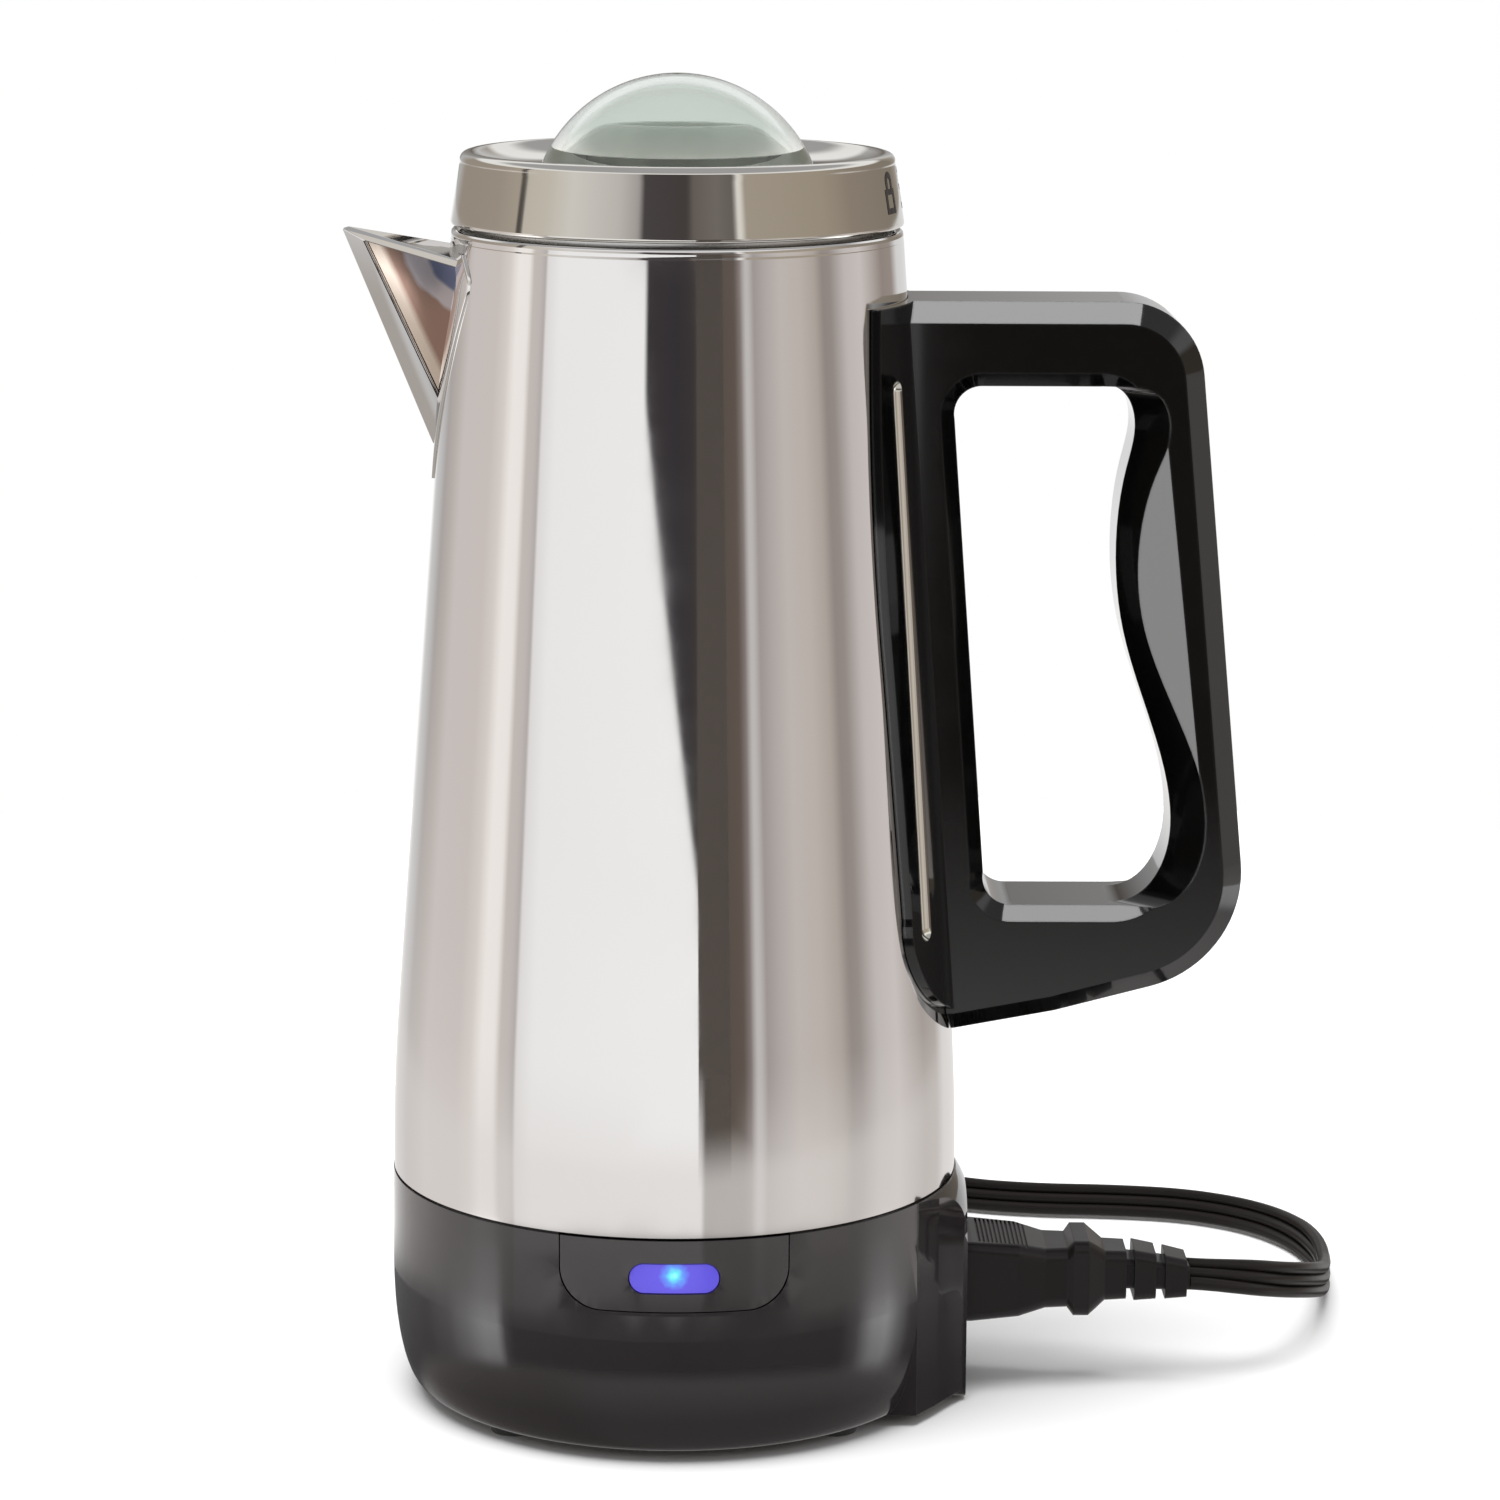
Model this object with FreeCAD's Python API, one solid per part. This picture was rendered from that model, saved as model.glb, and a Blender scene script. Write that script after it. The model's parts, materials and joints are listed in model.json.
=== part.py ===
"""Electric coffee percolator with a detachable mains lead.

Frame: millimetres, +Z up, origin on the pot's axis at the surface it stands on.
The indicator light faces -Y, the handle and the mains inlet are at +X, the spout is at -X.
Each piece is one function that returns its shape, and NODES at the end names them all.
"""
import FreeCAD, Part
import math
import os

V = FreeCAD.Vector
UP = V(0, 0, 1)
ORIGIN = V(0, 0, 0)

# ---------------------------------------------------------------- driving dimensions
# Overall
TOTAL_H = 335.0            # floor to the top of the glass knob

# Steel body: a vertical foot, a long arc and a straight cone
BODY_R = 71.6              # radius at the seam
BODY_Z0 = 58.9             # lower edge
BODY_ARC_Z = 60.0          # the arc starts here, vertical
CONE_R = 70.1
CONE_Z = 101.0             # the cone starts here
NECK_R = 55.85
NECK_Z = 296.0             # the cone ends here
BODY_WALL = 0.9
RIM_TOP = 297.1

# Vessel floor with its heater well
FLOOR_Z = 66.0
FLOOR_T = 1.2
WELL_R = 21.0
WELL_DEPTH = 6.0

# Black base
BASE_R = 71.9
BASE_TOP = 58.4
BASE_BOTTOM = 3.0
BASE_WALL = 2.2
CORNER_R = 7.0             # the bottom corner's reach inwards
CORNER_H = 30.0            # and its height
COVER_R = 63.4             # the bottom cover's radius
SCREW_R = 50.0             # the cover screws' circle
SCREW_ANGLES = (90, 210, 330)
FOOT_R = 56.5              # the feet's circle
FOOT_ANGLES = (45, 135, 225, 315)

# Heater under the well
HEATER_TOP = FLOOR_Z - WELL_DEPTH - 0.05
ELEMENT_R = 16.0           # the tubular element's ring
ELEMENT_ENDS = (35, 325)   # directions of its two legs, in degrees
STUD_R = 33.0
STUD_ANGLES = (30, 150, 270)
BRIDGE_Z = 44.5

# Indicator
PANEL_HALF_W = 27.8
PANEL_Z0 = 40.6
PANEL_CORNER = 10.0
LENS_W = 22.4
LENS_H = 7.8
LENS_Z = 48.9
SLIT = 0.3                 # gap round the panel and the lens

# Spout: a folded V whose two cheeks meet at the nose line and spread to the mouth corners
SPOUT_TIP = V(-82.8, 0, 296.6)
SPOUT_FOOT = V(-60.6, 0, 243.0)
SPOUT_CORNER = V(-51.6, 20.4, 290.0)
SPOUT_SHEET = 0.9
SPOUT_SADDLE = 0.7         # thickness of the flange that is welded to the body

# Lid
LID_Z0 = 298.6
LID_R0 = 55.8
LID_TOP = 316.0
LID_R1 = 53.4
SHEET = 0.8
DISH_R = 47.5              # outer radius of the top's dish
DISH_Z = 310.0             # its height at the knob
KNOB_HOLE_R = 20.4
SKIRT_R = 51.6             # outer radius of the skirt that enters the neck
SKIRT_Z0 = 287.0

# Glass knob
DOME_R = 36.4              # sphere radius
DOME_WALL = 2.6
DOME_BASE_Z = 311.4
COLLAR_R = 19.6            # the glass collar that goes through the lid
COLLAR_BORE = 15.5
COLLAR_Z0 = 300.5
THROAT_Z = 322.6           # top of the raised throat inside the dome

# Brewing parts
STEM_R = 4.5
STEM_BORE = 3.7
STEM_TOP = 296.5
STOP_Z = 221.0             # the bead that carries the basket
FOOT_BELL_R = 17.0
BASKET_R = 45.0
BASKET_Z0 = 222.3
BASKET_Z1 = 282.5
SLEEVE_BORE = 5.0
SLEEVE_R = 5.8

# Handle
HANDLE_HALF_W = 17.0
HANDLE_BEVEL = 5.0
OPENING_BEVEL = 3.6         # round the finger opening
GRIP_BEVEL = 8.0            # on its waved side
SADDLE_T = 2.0             # the saddle plate's thickness on the body
FIT = 0.2                  # gap between the handle and the steel
BRACKET_ZS = (270.0, 116.0)    # heights of the two handle fixings
BRACKET_REACH = 9.0

# Mains inlet and lead
INLET_Z = 29.7             # height of the connector's axis
INLET_X = 74.4             # the inlet's flat face
CONNECTOR_W = 27.0
CONNECTOR_H = 21.0
PIN_SPACING = 7.0
PIN_X1 = 73.6
CORD_W = 9.4               # the flat cord's width, which stands on edge on the floor
CORD_T = 3.6
CORD_R = CORD_W / 2
CORD_LIE_Z = 4.8           # height of the lying cord's centreline
CORD_START = (132.5, 0.0, 28.4)
COIL_CENTRE = (20.0, 134.0)
COIL_R_OUT = 50.2          # centreline of the outermost turn
COIL_R_IN = 46.4           # centreline of the innermost turn

# Centreline of the lead, from the connector to the coil
LEAD_ROUTE = [
    CORD_START, (146.0, 1.2, 27.2), (157.5, 9.0, 24.0), (165.5, 21.5, 20.0), (171.0, 38.0, 15.0),
    (175.0, 56.5, 9.6), (178.0, 76.0, 5.7), (179.0, 96.0, CORD_LIE_Z), (175.0, 115.5, CORD_LIE_Z),
    (164.5, 132.0, CORD_LIE_Z), (147.5, 143.0, CORD_LIE_Z), (126.5, 147.2, CORD_LIE_Z),
    (104.0, 148.4, CORD_LIE_Z), (83.5, 153.5, CORD_LIE_Z), (66.0, 163.8, CORD_LIE_Z),
    (50.5, 174.2, CORD_LIE_Z)]

# Centreline of its end, from over the coil to the plug
TAIL_ROUTE = [
    (37.1, 176.9, 14.2), (25.0, 181.6, 15.0), (11.5, 186.0, 14.6), (-2.5, 190.3, 12.6),
    (-16.0, 195.0, 11.0)]

PLUG_AXIS = V(-16.0, 5.4, 0.0).normalize()
PLUG_START = V(*TAIL_ROUTE[-1])


# ---------------------------------------------------------------- helpers
def edge_chain(start, steps):
    """Edges in the XZ plane. A step is (x, z) for a line or ((x, z), (x, z)) for an arc."""
    edges = []
    here = V(start[0], 0, start[1])
    for step in steps:
        if isinstance(step[0], tuple):
            mid = V(step[0][0], 0, step[0][1])
            end = V(step[1][0], 0, step[1][1])
            edges.append(Part.Arc(here, mid, end).toShape())
        else:
            end = V(step[0], 0, step[1])
            edges.append(Part.LineSegment(here, end).toShape())
        here = end
    return edges


def face_xz(start, steps):
    """A face in the XZ plane whose outline closes back on its start."""
    steps = list(steps)
    last = steps[-1][1] if isinstance(steps[-1][0], tuple) else steps[-1]
    if last != start:
        steps.append(start)
    return Part.Face(Part.Wire(edge_chain(start, steps)))


def turned(start, steps, degrees=360.0):
    """A solid of revolution about Z from an outline of (radius, height)."""
    return face_xz(start, steps).revolve(ORIGIN, UP, degrees)


def cylinder(radius, height, base, axis=UP):
    return Part.makeCylinder(radius, height, V(*base), axis)


def box(x0, x1, y0, y1, z0, z1):
    return Part.makeBox(x1 - x0, y1 - y0, z1 - z0, V(x0, y0, z0))


def ring(r_in, r_out, z0, z1):
    return turned((r_in, z0), [(r_out, z0), (r_out, z1), (r_in, z1)])


def fused(shapes):
    whole = shapes[0]
    if len(shapes) > 1:
        whole = whole.multiFuse(shapes[1:])
    return whole.removeSplitter()


def polar(radius, degrees, z=0.0):
    a = math.radians(degrees)
    return V(radius * math.cos(a), radius * math.sin(a), z)


def around(shape, angles):
    """Copies of a shape turned about Z."""
    copies = []
    for degrees in angles:
        copy = shape.copy()
        copy.rotate(ORIGIN, UP, degrees)
        copies.append(copy)
    return copies


def rounded_prism(width, height, radius, centre_z, y0, y1):
    """A prism along Y with a rounded rectangle of width by height."""
    w = width / 2
    h = height / 2
    k = radius * (1 - math.sqrt(0.5))
    z = centre_z
    outline = face_xz((-w + radius, z - h), [
        (w - radius, z - h), ((w - k, z - h + k), (w, z - h + radius)),
        (w, z + h - radius), ((w - k, z + h - k), (w - radius, z + h)),
        (-w + radius, z + h), ((-w + k, z + h - k), (-w, z + h - radius)),
        (-w, z - h + radius), ((-w + k, z - h + k), (-w + radius, z - h))])
    outline.translate(V(0, y0, 0))
    return outline.extrude(V(0, y1 - y0, 0))


def cone_radius(z):
    """Outer radius of the steel body's straight cone."""
    return CONE_R + (NECK_R - CONE_R) * (z - CONE_Z) / (NECK_Z - CONE_Z)


def body_arc_mid(offset):
    """The middle of the arc between the vertical foot and the cone."""
    half = (CONE_Z - BODY_ARC_Z) / 2
    slope = math.atan2(CONE_R - NECK_R, NECK_Z - CONE_Z)
    big_r = (CONE_Z - BODY_ARC_Z) / math.sin(slope)
    drop = big_r - math.sqrt(big_r ** 2 - half ** 2)
    return (BODY_R + offset - drop, BODY_ARC_Z + half)


def body_plug(offset, top=NECK_Z):
    """The solid cone inside the body's outer surface, grown by an offset."""
    return turned((0, BODY_Z0 - 5), [
        (BODY_R + offset, BODY_Z0 - 5), (BODY_R + offset, BODY_ARC_Z),
        (body_arc_mid(offset), (CONE_R + offset, CONE_Z)),
        (cone_radius(top) + offset, top), (0, top)])


# ---------------------------------------------------------------- body
def body_shell():
    t = BODY_WALL
    shell = turned((BODY_R, BODY_Z0), [
        (BODY_R, BODY_ARC_Z), (body_arc_mid(0), (CONE_R, CONE_Z)),
        (NECK_R + 0.1, NECK_Z - 1.4), ((NECK_R - 0.35, RIM_TOP - 0.4), (NECK_R - 1.4, RIM_TOP)),
        (NECK_R - 2.3, RIM_TOP - 0.5), (NECK_R - 2.3, NECK_Z - 1.6), (NECK_R - t, NECK_Z - 2.2),
        (CONE_R - t, CONE_Z), (body_arc_mid(-t), (BODY_R - t, BODY_ARC_Z)), (BODY_R - t, BODY_Z0)])
    return shell.cut(spout_wedge(2.2, SPOUT_FOOT.z + 6.0))


def spout_wedge(inset, low_z):
    """The tapering space between the two cheeks, from the tip to inside the body."""
    tip = SPOUT_TIP + V(inset * 1.5, 0, 0)
    foot = V(SPOUT_FOOT.x + inset, 0, low_z)
    half = SPOUT_CORNER.y - inset
    back = V(6, 0, 0)
    top_l = V(SPOUT_CORNER.x, half, SPOUT_CORNER.z)
    top_r = V(SPOUT_CORNER.x, -half, SPOUT_CORNER.z)
    foot_back = foot + back * 2
    return hull_of([tip, foot, top_l, top_r], [foot_back, top_l + back * 2, top_r + back * 2])


def hull_of(front, rear):
    """A closed solid from a tip, foot and two corners, carried back to a rear triangle."""
    tip, foot, left, right = front
    foot_b, left_b, right_b = rear
    loops = [[tip, left, foot], [tip, foot, right], [left, left_b, foot_b, foot],
             [right, foot, foot_b, right_b], [tip, right, left], [left, right, right_b, left_b],
             [foot_b, left_b, right_b]]
    faces = []
    for loop in loops:
        for i in range(1, len(loop) - 1):
            faces.append(Part.Face(Part.makePolygon([loop[0], loop[i], loop[i + 1], loop[0]])))
    solid = Part.makeSolid(Part.makeShell(faces))
    if solid.Volume < 0:
        solid.reverse()
    return solid


def spout():
    """Folded steel spout with the saddle flange that is welded to the body."""
    outer = spout_wedge(0.0, SPOUT_FOOT.z)
    inner = spout_wedge(SPOUT_SHEET * 1.35, SPOUT_FOOT.z + 3.5)
    cut_top = inner.copy()
    cut_top.translate(V(0, 0, 3.0))
    trough = outer.cut(fused([inner, cut_top]))
    outline = face_xz((0, 234.5), [
        (2.2, 236.0), (26.4, 283.0), ((27.0, 286.6), (24.8, 289.6)), (20.5, 293.6),
        (-20.5, 293.6), (-24.8, 289.6), ((-27.0, 286.6), (-26.4, 283.0)), (-2.2, 236.0)])
    outline.rotate(ORIGIN, UP, 90)
    prism = outline.extrude(V(-70, 0, 0))
    skin = body_plug(SPOUT_SADDLE, NECK_Z - 2.0).cut(body_plug(0.05, NECK_Z - 2.0))
    saddle = skin.common(prism)
    whole = trough.fuse(saddle).cut(body_plug(0.05))
    keep = [s for s in whole.cut(inner).Solids if s.Volume > 60.0]
    return fused(keep) if len(keep) > 1 else keep[0]


def vessel_floor():
    """Welded floor with a sunken well that holds the stem's foot over the heater."""
    t = FLOOR_T
    rim = BODY_R - BODY_WALL - 0.05
    z = FLOOR_Z
    return turned((0, z - WELL_DEPTH), [
        (WELL_R - 2, z - WELL_DEPTH), (WELL_R, z - WELL_DEPTH + 2), (WELL_R, z - 1),
        (WELL_R + 1, z), (rim - 1.6, z), (rim - 1.6, z - 5), (rim, z - 5), (rim, z + t),
        (WELL_R - t, z + t), (WELL_R - t, z - WELL_DEPTH + 2 + t * 0.3),
        (WELL_R - 2 - t * 0.6, z - WELL_DEPTH + t), (0, z - WELL_DEPTH + t)])


# ---------------------------------------------------------------- base
def base_corner(offset):
    """Quarter ellipse of the base's bottom corner, moved inwards by an offset."""
    centre = V(BASE_R - CORNER_R, 0, BASE_BOTTOM + CORNER_H)
    side = V(BASE_R - offset, 0, centre.z)
    bottom = V(centre.x, 0, BASE_BOTTOM + offset)
    return Part.ArcOfEllipse(Part.Ellipse(bottom, side, centre), 0, math.pi / 2).toShape()


def base_solid(offset, top):
    """The base's full round body inside its outer surface, moved inwards by an offset."""
    low = BASE_BOTTOM + offset
    side_z = BASE_BOTTOM + CORNER_H
    corner = base_corner(offset)
    edges = [Part.LineSegment(V(0, 0, low), V(BASE_R - CORNER_R, 0, low)).toShape(), corner]
    edges += edge_chain((BASE_R - offset, side_z), [(BASE_R - offset - 0.15, top), (0, top), (0, low)])
    return Part.Face(Part.Wire(Part.__sortEdges__(edges))).revolve(ORIGIN, UP, 360)


def panel_prism(grow):
    """The indicator panel's outline, open at the seam, through the front wall."""
    w = PANEL_HALF_W + grow
    z0 = PANEL_Z0 - grow
    r = PANEL_CORNER
    k = r * (1 - math.sqrt(0.5))
    outline = face_xz((-w + r, z0), [
        (w - r, z0), ((w - k, z0 + k), (w, z0 + r)), (w, BASE_TOP + 1),
        (-w, BASE_TOP + 1), (-w, z0 + r), ((-w + k, z0 + k), (-w + r, z0))])
    outline.translate(V(0, -BASE_R - 5, 0))
    return outline.extrude(V(0, 20, 0))


def stadium(width, height, z, y0, y1):
    return rounded_prism(width, height, height / 2 - 0.01, z, y0, y1)


def inlet_boss_solid():
    """The flared block that carries the mains inlet, before its pocket is cut."""
    x = INLET_X
    half = 18.4
    edges = []
    start = V(52, -38.5, 0)
    steps = [V(60.8, -38.5, 0), V(66.4, -29.9, 0), (V(70.3, -23.2, 0), V(x - 0.8, -half, 0)),
             V(x - 0.8, half, 0), (V(70.3, 23.2, 0), V(66.4, 29.9, 0)), V(60.8, 38.5, 0),
             V(52, 38.5, 0), start]
    here = start
    for step in steps:
        if isinstance(step, tuple):
            edges.append(Part.Arc(here, step[0], step[1]).toShape())
            here = step[1]
        else:
            edges.append(Part.LineSegment(here, step).toShape())
            here = step
    flare = Part.Face(Part.Wire(edges)).extrude(V(0, 0, BASE_TOP - BASE_BOTTOM))
    flare.translate(V(0, 0, BASE_BOTTOM))
    lip = rounded_prism(2 * half, BASE_TOP - 1.0, 2.5, (BASE_TOP + 1.0) / 2, 0, x - 58)
    lip.rotate(ORIGIN, UP, -90)
    lip.translate(V(58, 0, 0))
    # The shoulder under the seam is rounded
    shoulder = turned((0, 0.5), [
        (82, 0.5), (82, 30), (INLET_X + 1.5, 44), ((INLET_X + 0.2, 53.6), (BASE_R + 0.1, BASE_TOP - 0.1)),
        (0, BASE_TOP - 0.1)])
    return fused([flare, lip]).common(shoulder)


def base_housing():
    """Black moulded base with its collar inside the steel, the panel's seat and the inlet boss."""
    shell = base_solid(0, BASE_TOP).cut(base_solid(BASE_WALL, BASE_TOP + 1))
    collar = ring(67.6, BODY_R - BODY_WALL - 0.2, BASE_TOP - 6, BODY_Z0 + 1.9)
    inside = base_solid(BASE_WALL, BASE_TOP)
    bosses = around(cylinder(4.0, 30, (SCREW_R, 0, 6.6)), SCREW_ANGLES)
    web = around(box(SCREW_R, BASE_R, -1.0, 1.0, 8, 36).common(base_solid(1.2, BASE_TOP)), SCREW_ANGLES)
    housing = fused([shell, collar, inlet_boss_solid().cut(inside)] + bosses + web)
    opening = cylinder(COVER_R + 0.3, 8, (0, 0, BASE_BOTTOM - 2))
    holes = around(cylinder(1.3, 16, (SCREW_R, 0, 6.5)), SCREW_ANGLES)
    pocket = inlet_pocket(0.15)
    for cutter in [opening, panel_prism(SLIT), pocket] + holes:
        housing = housing.cut(cutter)
    keep = max(housing.Solids, key=lambda s: s.Volume)
    return keep


def front_skin(depth_out, depth_in):
    """The base's front wall between two depths under its outer surface."""
    return base_solid(depth_out, BASE_TOP).cut(base_solid(depth_in, BASE_TOP + 1))


def indicator_panel():
    plate = front_skin(0, BASE_WALL).common(panel_prism(0))
    window = stadium(LENS_W, LENS_H, LENS_Z, -BASE_R - 5, -BASE_R + 12)
    return plate.cut(window)


def indicator_lens():
    window = stadium(LENS_W - 2 * SLIT, LENS_H - 2 * SLIT, LENS_Z, -BASE_R - 5, -BASE_R + 12)
    return front_skin(0.25, BASE_WALL + 0.6).common(window)


def indicator_lamp():
    """A small glass neon lamp behind the lens."""
    y = -BASE_R + BASE_WALL + 1.2
    bulb = cylinder(2.4, 7, (0, y + 2.4, LENS_Z), V(0, 1, 0))
    tip = Part.makeSphere(2.4, V(0, y + 2.4, LENS_Z))
    return fused([bulb, tip])


def lamp_holder():
    y = -BASE_R + BASE_WALL + 10.9
    plate = box(-14, 14, y, y + 1.6, LENS_Z - 6, LENS_Z + 6)
    cup = cylinder(3.6, 4, (0, y - 4, LENS_Z), V(0, 1, 0))
    hole = cylinder(2.45, 7, (0, y - 5, LENS_Z), V(0, 1, 0))
    arms = fused([box(s * 14 - 2, s * 14 + 2, y - 8.1, y + 1.6, LENS_Z - 6, LENS_Z - 2) for s in (-1, 1)]
                 + [plate])
    return fused([arms, cup]).cut(hole)


def base_cover():
    """Bottom plate with vent slots, foot sockets and countersunk screw holes."""
    plate = cylinder(COVER_R, 2.4, (0, 0, BASE_BOTTOM))
    ledge = ring(COVER_R - 2.4, COVER_R - 1.0, BASE_BOTTOM + 2.4, BASE_BOTTOM + 5)
    slots = []
    for row in range(-3, 4):
        slots.append(box(-16, 16, row * 5 - 1.0, row * 5 + 1.0, BASE_BOTTOM - 1, BASE_BOTTOM + 4))
    screw = cylinder(1.8, 6, (SCREW_R, 0, BASE_BOTTOM - 1))
    head = Part.makeCone(3.4, 1.7, 1.7, V(SCREW_R, 0, BASE_BOTTOM - 0.01), UP)
    foot_hole = cylinder(3.3, 6, (FOOT_R, 0, BASE_BOTTOM - 1))
    cuts = slots + around(screw, SCREW_ANGLES) + around(head, SCREW_ANGLES)
    cuts += around(foot_hole, FOOT_ANGLES)
    whole = fused([plate, ledge])
    for cutter in cuts:
        whole = whole.cut(cutter)
    return whole


def rubber_feet():
    """Four rubber feet, each with a stem that plugs into the cover."""
    foot = fused([Part.makeCone(5.8, 6.4, BASE_BOTTOM, V(FOOT_R, 0, 0), UP),
                  cylinder(3.2, 3.4, (FOOT_R, 0, BASE_BOTTOM)),
                  Part.makeCone(4.0, 2.6, 1.8, V(FOOT_R, 0, BASE_BOTTOM + 2.45), UP)])
    return Part.makeCompound(around(foot, FOOT_ANGLES))


def cover_screws():
    screw = fused([Part.makeCone(3.1, 1.5, 1.7, V(SCREW_R, 0, BASE_BOTTOM + 0.1), UP),
                   cylinder(1.25, 14, (SCREW_R, 0, BASE_BOTTOM + 1.5))])
    slot = fused([box(SCREW_R - 2, SCREW_R + 2, -0.4, 0.4, BASE_BOTTOM, BASE_BOTTOM + 0.8),
                  box(SCREW_R - 0.4, SCREW_R + 0.4, -2, 2, BASE_BOTTOM, BASE_BOTTOM + 0.8)])
    return Part.makeCompound(around(screw.cut(slot), SCREW_ANGLES))


# ---------------------------------------------------------------- heating
def heater_plate():
    """Die-cast aluminium block pressed against the well's underside."""
    disc = cylinder(WELL_R - 1.5, 5.5, (0, 0, HEATER_TOP - 5.5))
    groove = Part.makeTorus(ELEMENT_R, 3.15, V(0, 0, HEATER_TOP - 7.0), UP)
    return disc.cut(groove)


def heating_element():
    """Tubular element: three quarters of a ring with two upright terminal legs."""
    z = HEATER_TOP - 7.0
    loop = Part.makeTorus(ELEMENT_R, 3.0, V(0, 0, z), UP, 0, 360, 290)
    loop.rotate(ORIGIN, UP, 35)
    legs = []
    for degrees in ELEMENT_ENDS:
        foot = polar(ELEMENT_R, degrees, z)
        legs.append(cylinder(3.0, 9, (foot.x, foot.y, foot.z - 9)))
        legs.append(Part.makeSphere(3.0, foot))
        legs.append(cylinder(1.1, 7, (foot.x, foot.y, foot.z - 15)))
    return fused([loop] + legs)


def floor_studs():
    """Three threaded studs welded under the vessel's floor."""
    stud = cylinder(2.0, 23, (STUD_R, 0, FLOOR_Z - 23))
    return Part.makeCompound(around(stud, STUD_ANGLES))


def heater_bridge():
    """Pressed steel spider on the studs that clamps the heater to the well."""
    arms = around(box(6, STUD_R + 5, -5, 5, BRIDGE_Z, BRIDGE_Z + 1.5), STUD_ANGLES)
    hub = cylinder(9, 1.5, (0, 0, BRIDGE_Z))
    post = cylinder(6, 52.9 - BRIDGE_Z + 1.45, (0, 0, BRIDGE_Z))
    holes = around(cylinder(2.15, 8, (STUD_R, 0, BRIDGE_Z - 3)), STUD_ANGLES)
    clear = around(cylinder(3.6, 12, (ELEMENT_R, 0, BRIDGE_Z - 6)), ELEMENT_ENDS)
    whole = fused(arms + [hub, post])
    for cutter in holes + clear:
        whole = whole.cut(cutter)
    return whole


def stud_nuts():
    """Hexagon nuts on the studs."""
    corners = [polar(4.0, 60 * i, 0) for i in range(6)]
    hexagon = Part.Face(Part.makePolygon(corners + corners[:1])).extrude(V(0, 0, 3.0))
    nut = hexagon.cut(cylinder(2.05, 5, (0, 0, -1)))
    nut.translate(V(STUD_R, 0, BRIDGE_Z - 3.05))
    return Part.makeCompound(around(nut, STUD_ANGLES))


def thermostat():
    """Bimetal disc thermostat held to the floor's underside, with two tabs."""
    x, y = -40.0, 18.0
    cap = cylinder(8.0, 4.0, (x, y, FLOOR_Z - 4.05))
    case = cylinder(7.2, 6.0, (x, y, FLOOR_Z - 10.0))
    tabs = [box(x - 3.0, x + 3.0, y + s * 4 - 0.4, y + s * 4 + 0.4, FLOOR_Z - 17, FLOOR_Z - 9)
            for s in (-1, 1)]
    return fused([cap, case] + tabs)


def keep_warm_heater():
    """Small resistance band in a mica sleeve, on the floor's underside."""
    pad = box(-54, -30, -26, -12, FLOOR_Z - 3.0, FLOOR_Z - 0.05)
    leads = [cylinder(0.7, 9, (-42 + s * 8, -19, FLOOR_Z - 11.5)) for s in (-1, 1)]
    return fused([pad] + leads)


def thermal_fuse():
    """One-shot thermal cut-out in line with the heater's supply."""
    case = cylinder(2.2, 14, (33, -28, FLOOR_Z - 8), V(0, 1, 0))
    wires = cylinder(0.6, 26, (33, -34, FLOOR_Z - 8), V(0, 1, 0))
    return fused([case, wires])


# ---------------------------------------------------------------- mains inlet
def inlet_pocket(grow):
    """Space for the inlet insert, from the boss's face into the base."""
    w = CONNECTOR_W / 2 + 2.2 + grow
    h = CONNECTOR_H / 2 + 2.2 + grow
    return box(54.5 - grow, INLET_X + 5, -w, w, INLET_Z - h, INLET_Z + h)


def inlet_insert():
    """Moulded inlet socket that the connector pushes into."""
    w = CONNECTOR_W / 2
    h = CONNECTOR_H / 2
    block = box(54.5, INLET_X - 0.2, -w - 2.2, w + 2.2, INLET_Z - h - 2.2, INLET_Z + h + 2.2)
    mouth = box(57.5, INLET_X + 1, -w - 0.35, w + 0.35, INLET_Z - h - 0.35, INLET_Z + h + 0.35)
    socket = block.cut(mouth)
    for y, z in pin_places():
        socket = socket.cut(box(50, 60, y - 1.1, y + 1.1, z - 2.1, z + 2.1))
    return socket


def pin_places():
    return [(-PIN_SPACING, INLET_Z - 2), (PIN_SPACING, INLET_Z - 2), (0, INLET_Z + 2)]


def inlet_pins():
    """Three flat blades of the inlet, with solder tails inside the base."""
    blades = [box(48, PIN_X1 - 2, y - 1.0, y + 1.0, z - 2.0, z + 2.0) for y, z in pin_places()]
    return Part.makeCompound(blades)


def rounded_path(points, share=0.45):
    """Straight runs joined by tangent arcs. Returns the wire and the arcs' radii."""
    pts = [V(*p) for p in points]
    edges = []
    radii = []
    here = pts[0]
    for i in range(1, len(pts) - 1):
        back = pts[i] - pts[i - 1]
        ahead = pts[i + 1] - pts[i]
        turn = back.getAngle(ahead)
        cut_back = share * min(back.Length, ahead.Length)
        radius = cut_back / math.tan(turn / 2)
        before = V(back).normalize()
        after = V(ahead).normalize()
        start = pts[i] - before * cut_back
        end = pts[i] + after * cut_back
        inward = (after - before).normalize()
        middle = pts[i] + inward * (radius * (1 / math.cos(turn / 2) - 1))
        edges.append(Part.LineSegment(here, start).toShape())
        edges.append(Part.Arc(start, middle, end).toShape())
        radii.append(radius)
        here = end
    edges.append(Part.LineSegment(here, pts[-1]).toShape())
    return Part.Wire(edges), radii


def tube(points, radius, name=""):
    """A round tube along a rounded path. Prints what a cord's route gives."""
    wire, radii = rounded_path(points)
    first = V(*points[0])
    ahead = V(*points[1]) - first
    circle = Part.Wire(Part.Circle(first, ahead, radius).toShape())
    solid = wire.makePipeShell([circle], True, False)
    if name:
        section = math.pi * radius ** 2 * wire.Length
        print(name, "length", round(wire.Length, 1), "volume ratio", round(solid.Volume / section, 4))
        print("  radii", [round(r) for r in radii])
    return solid


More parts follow.
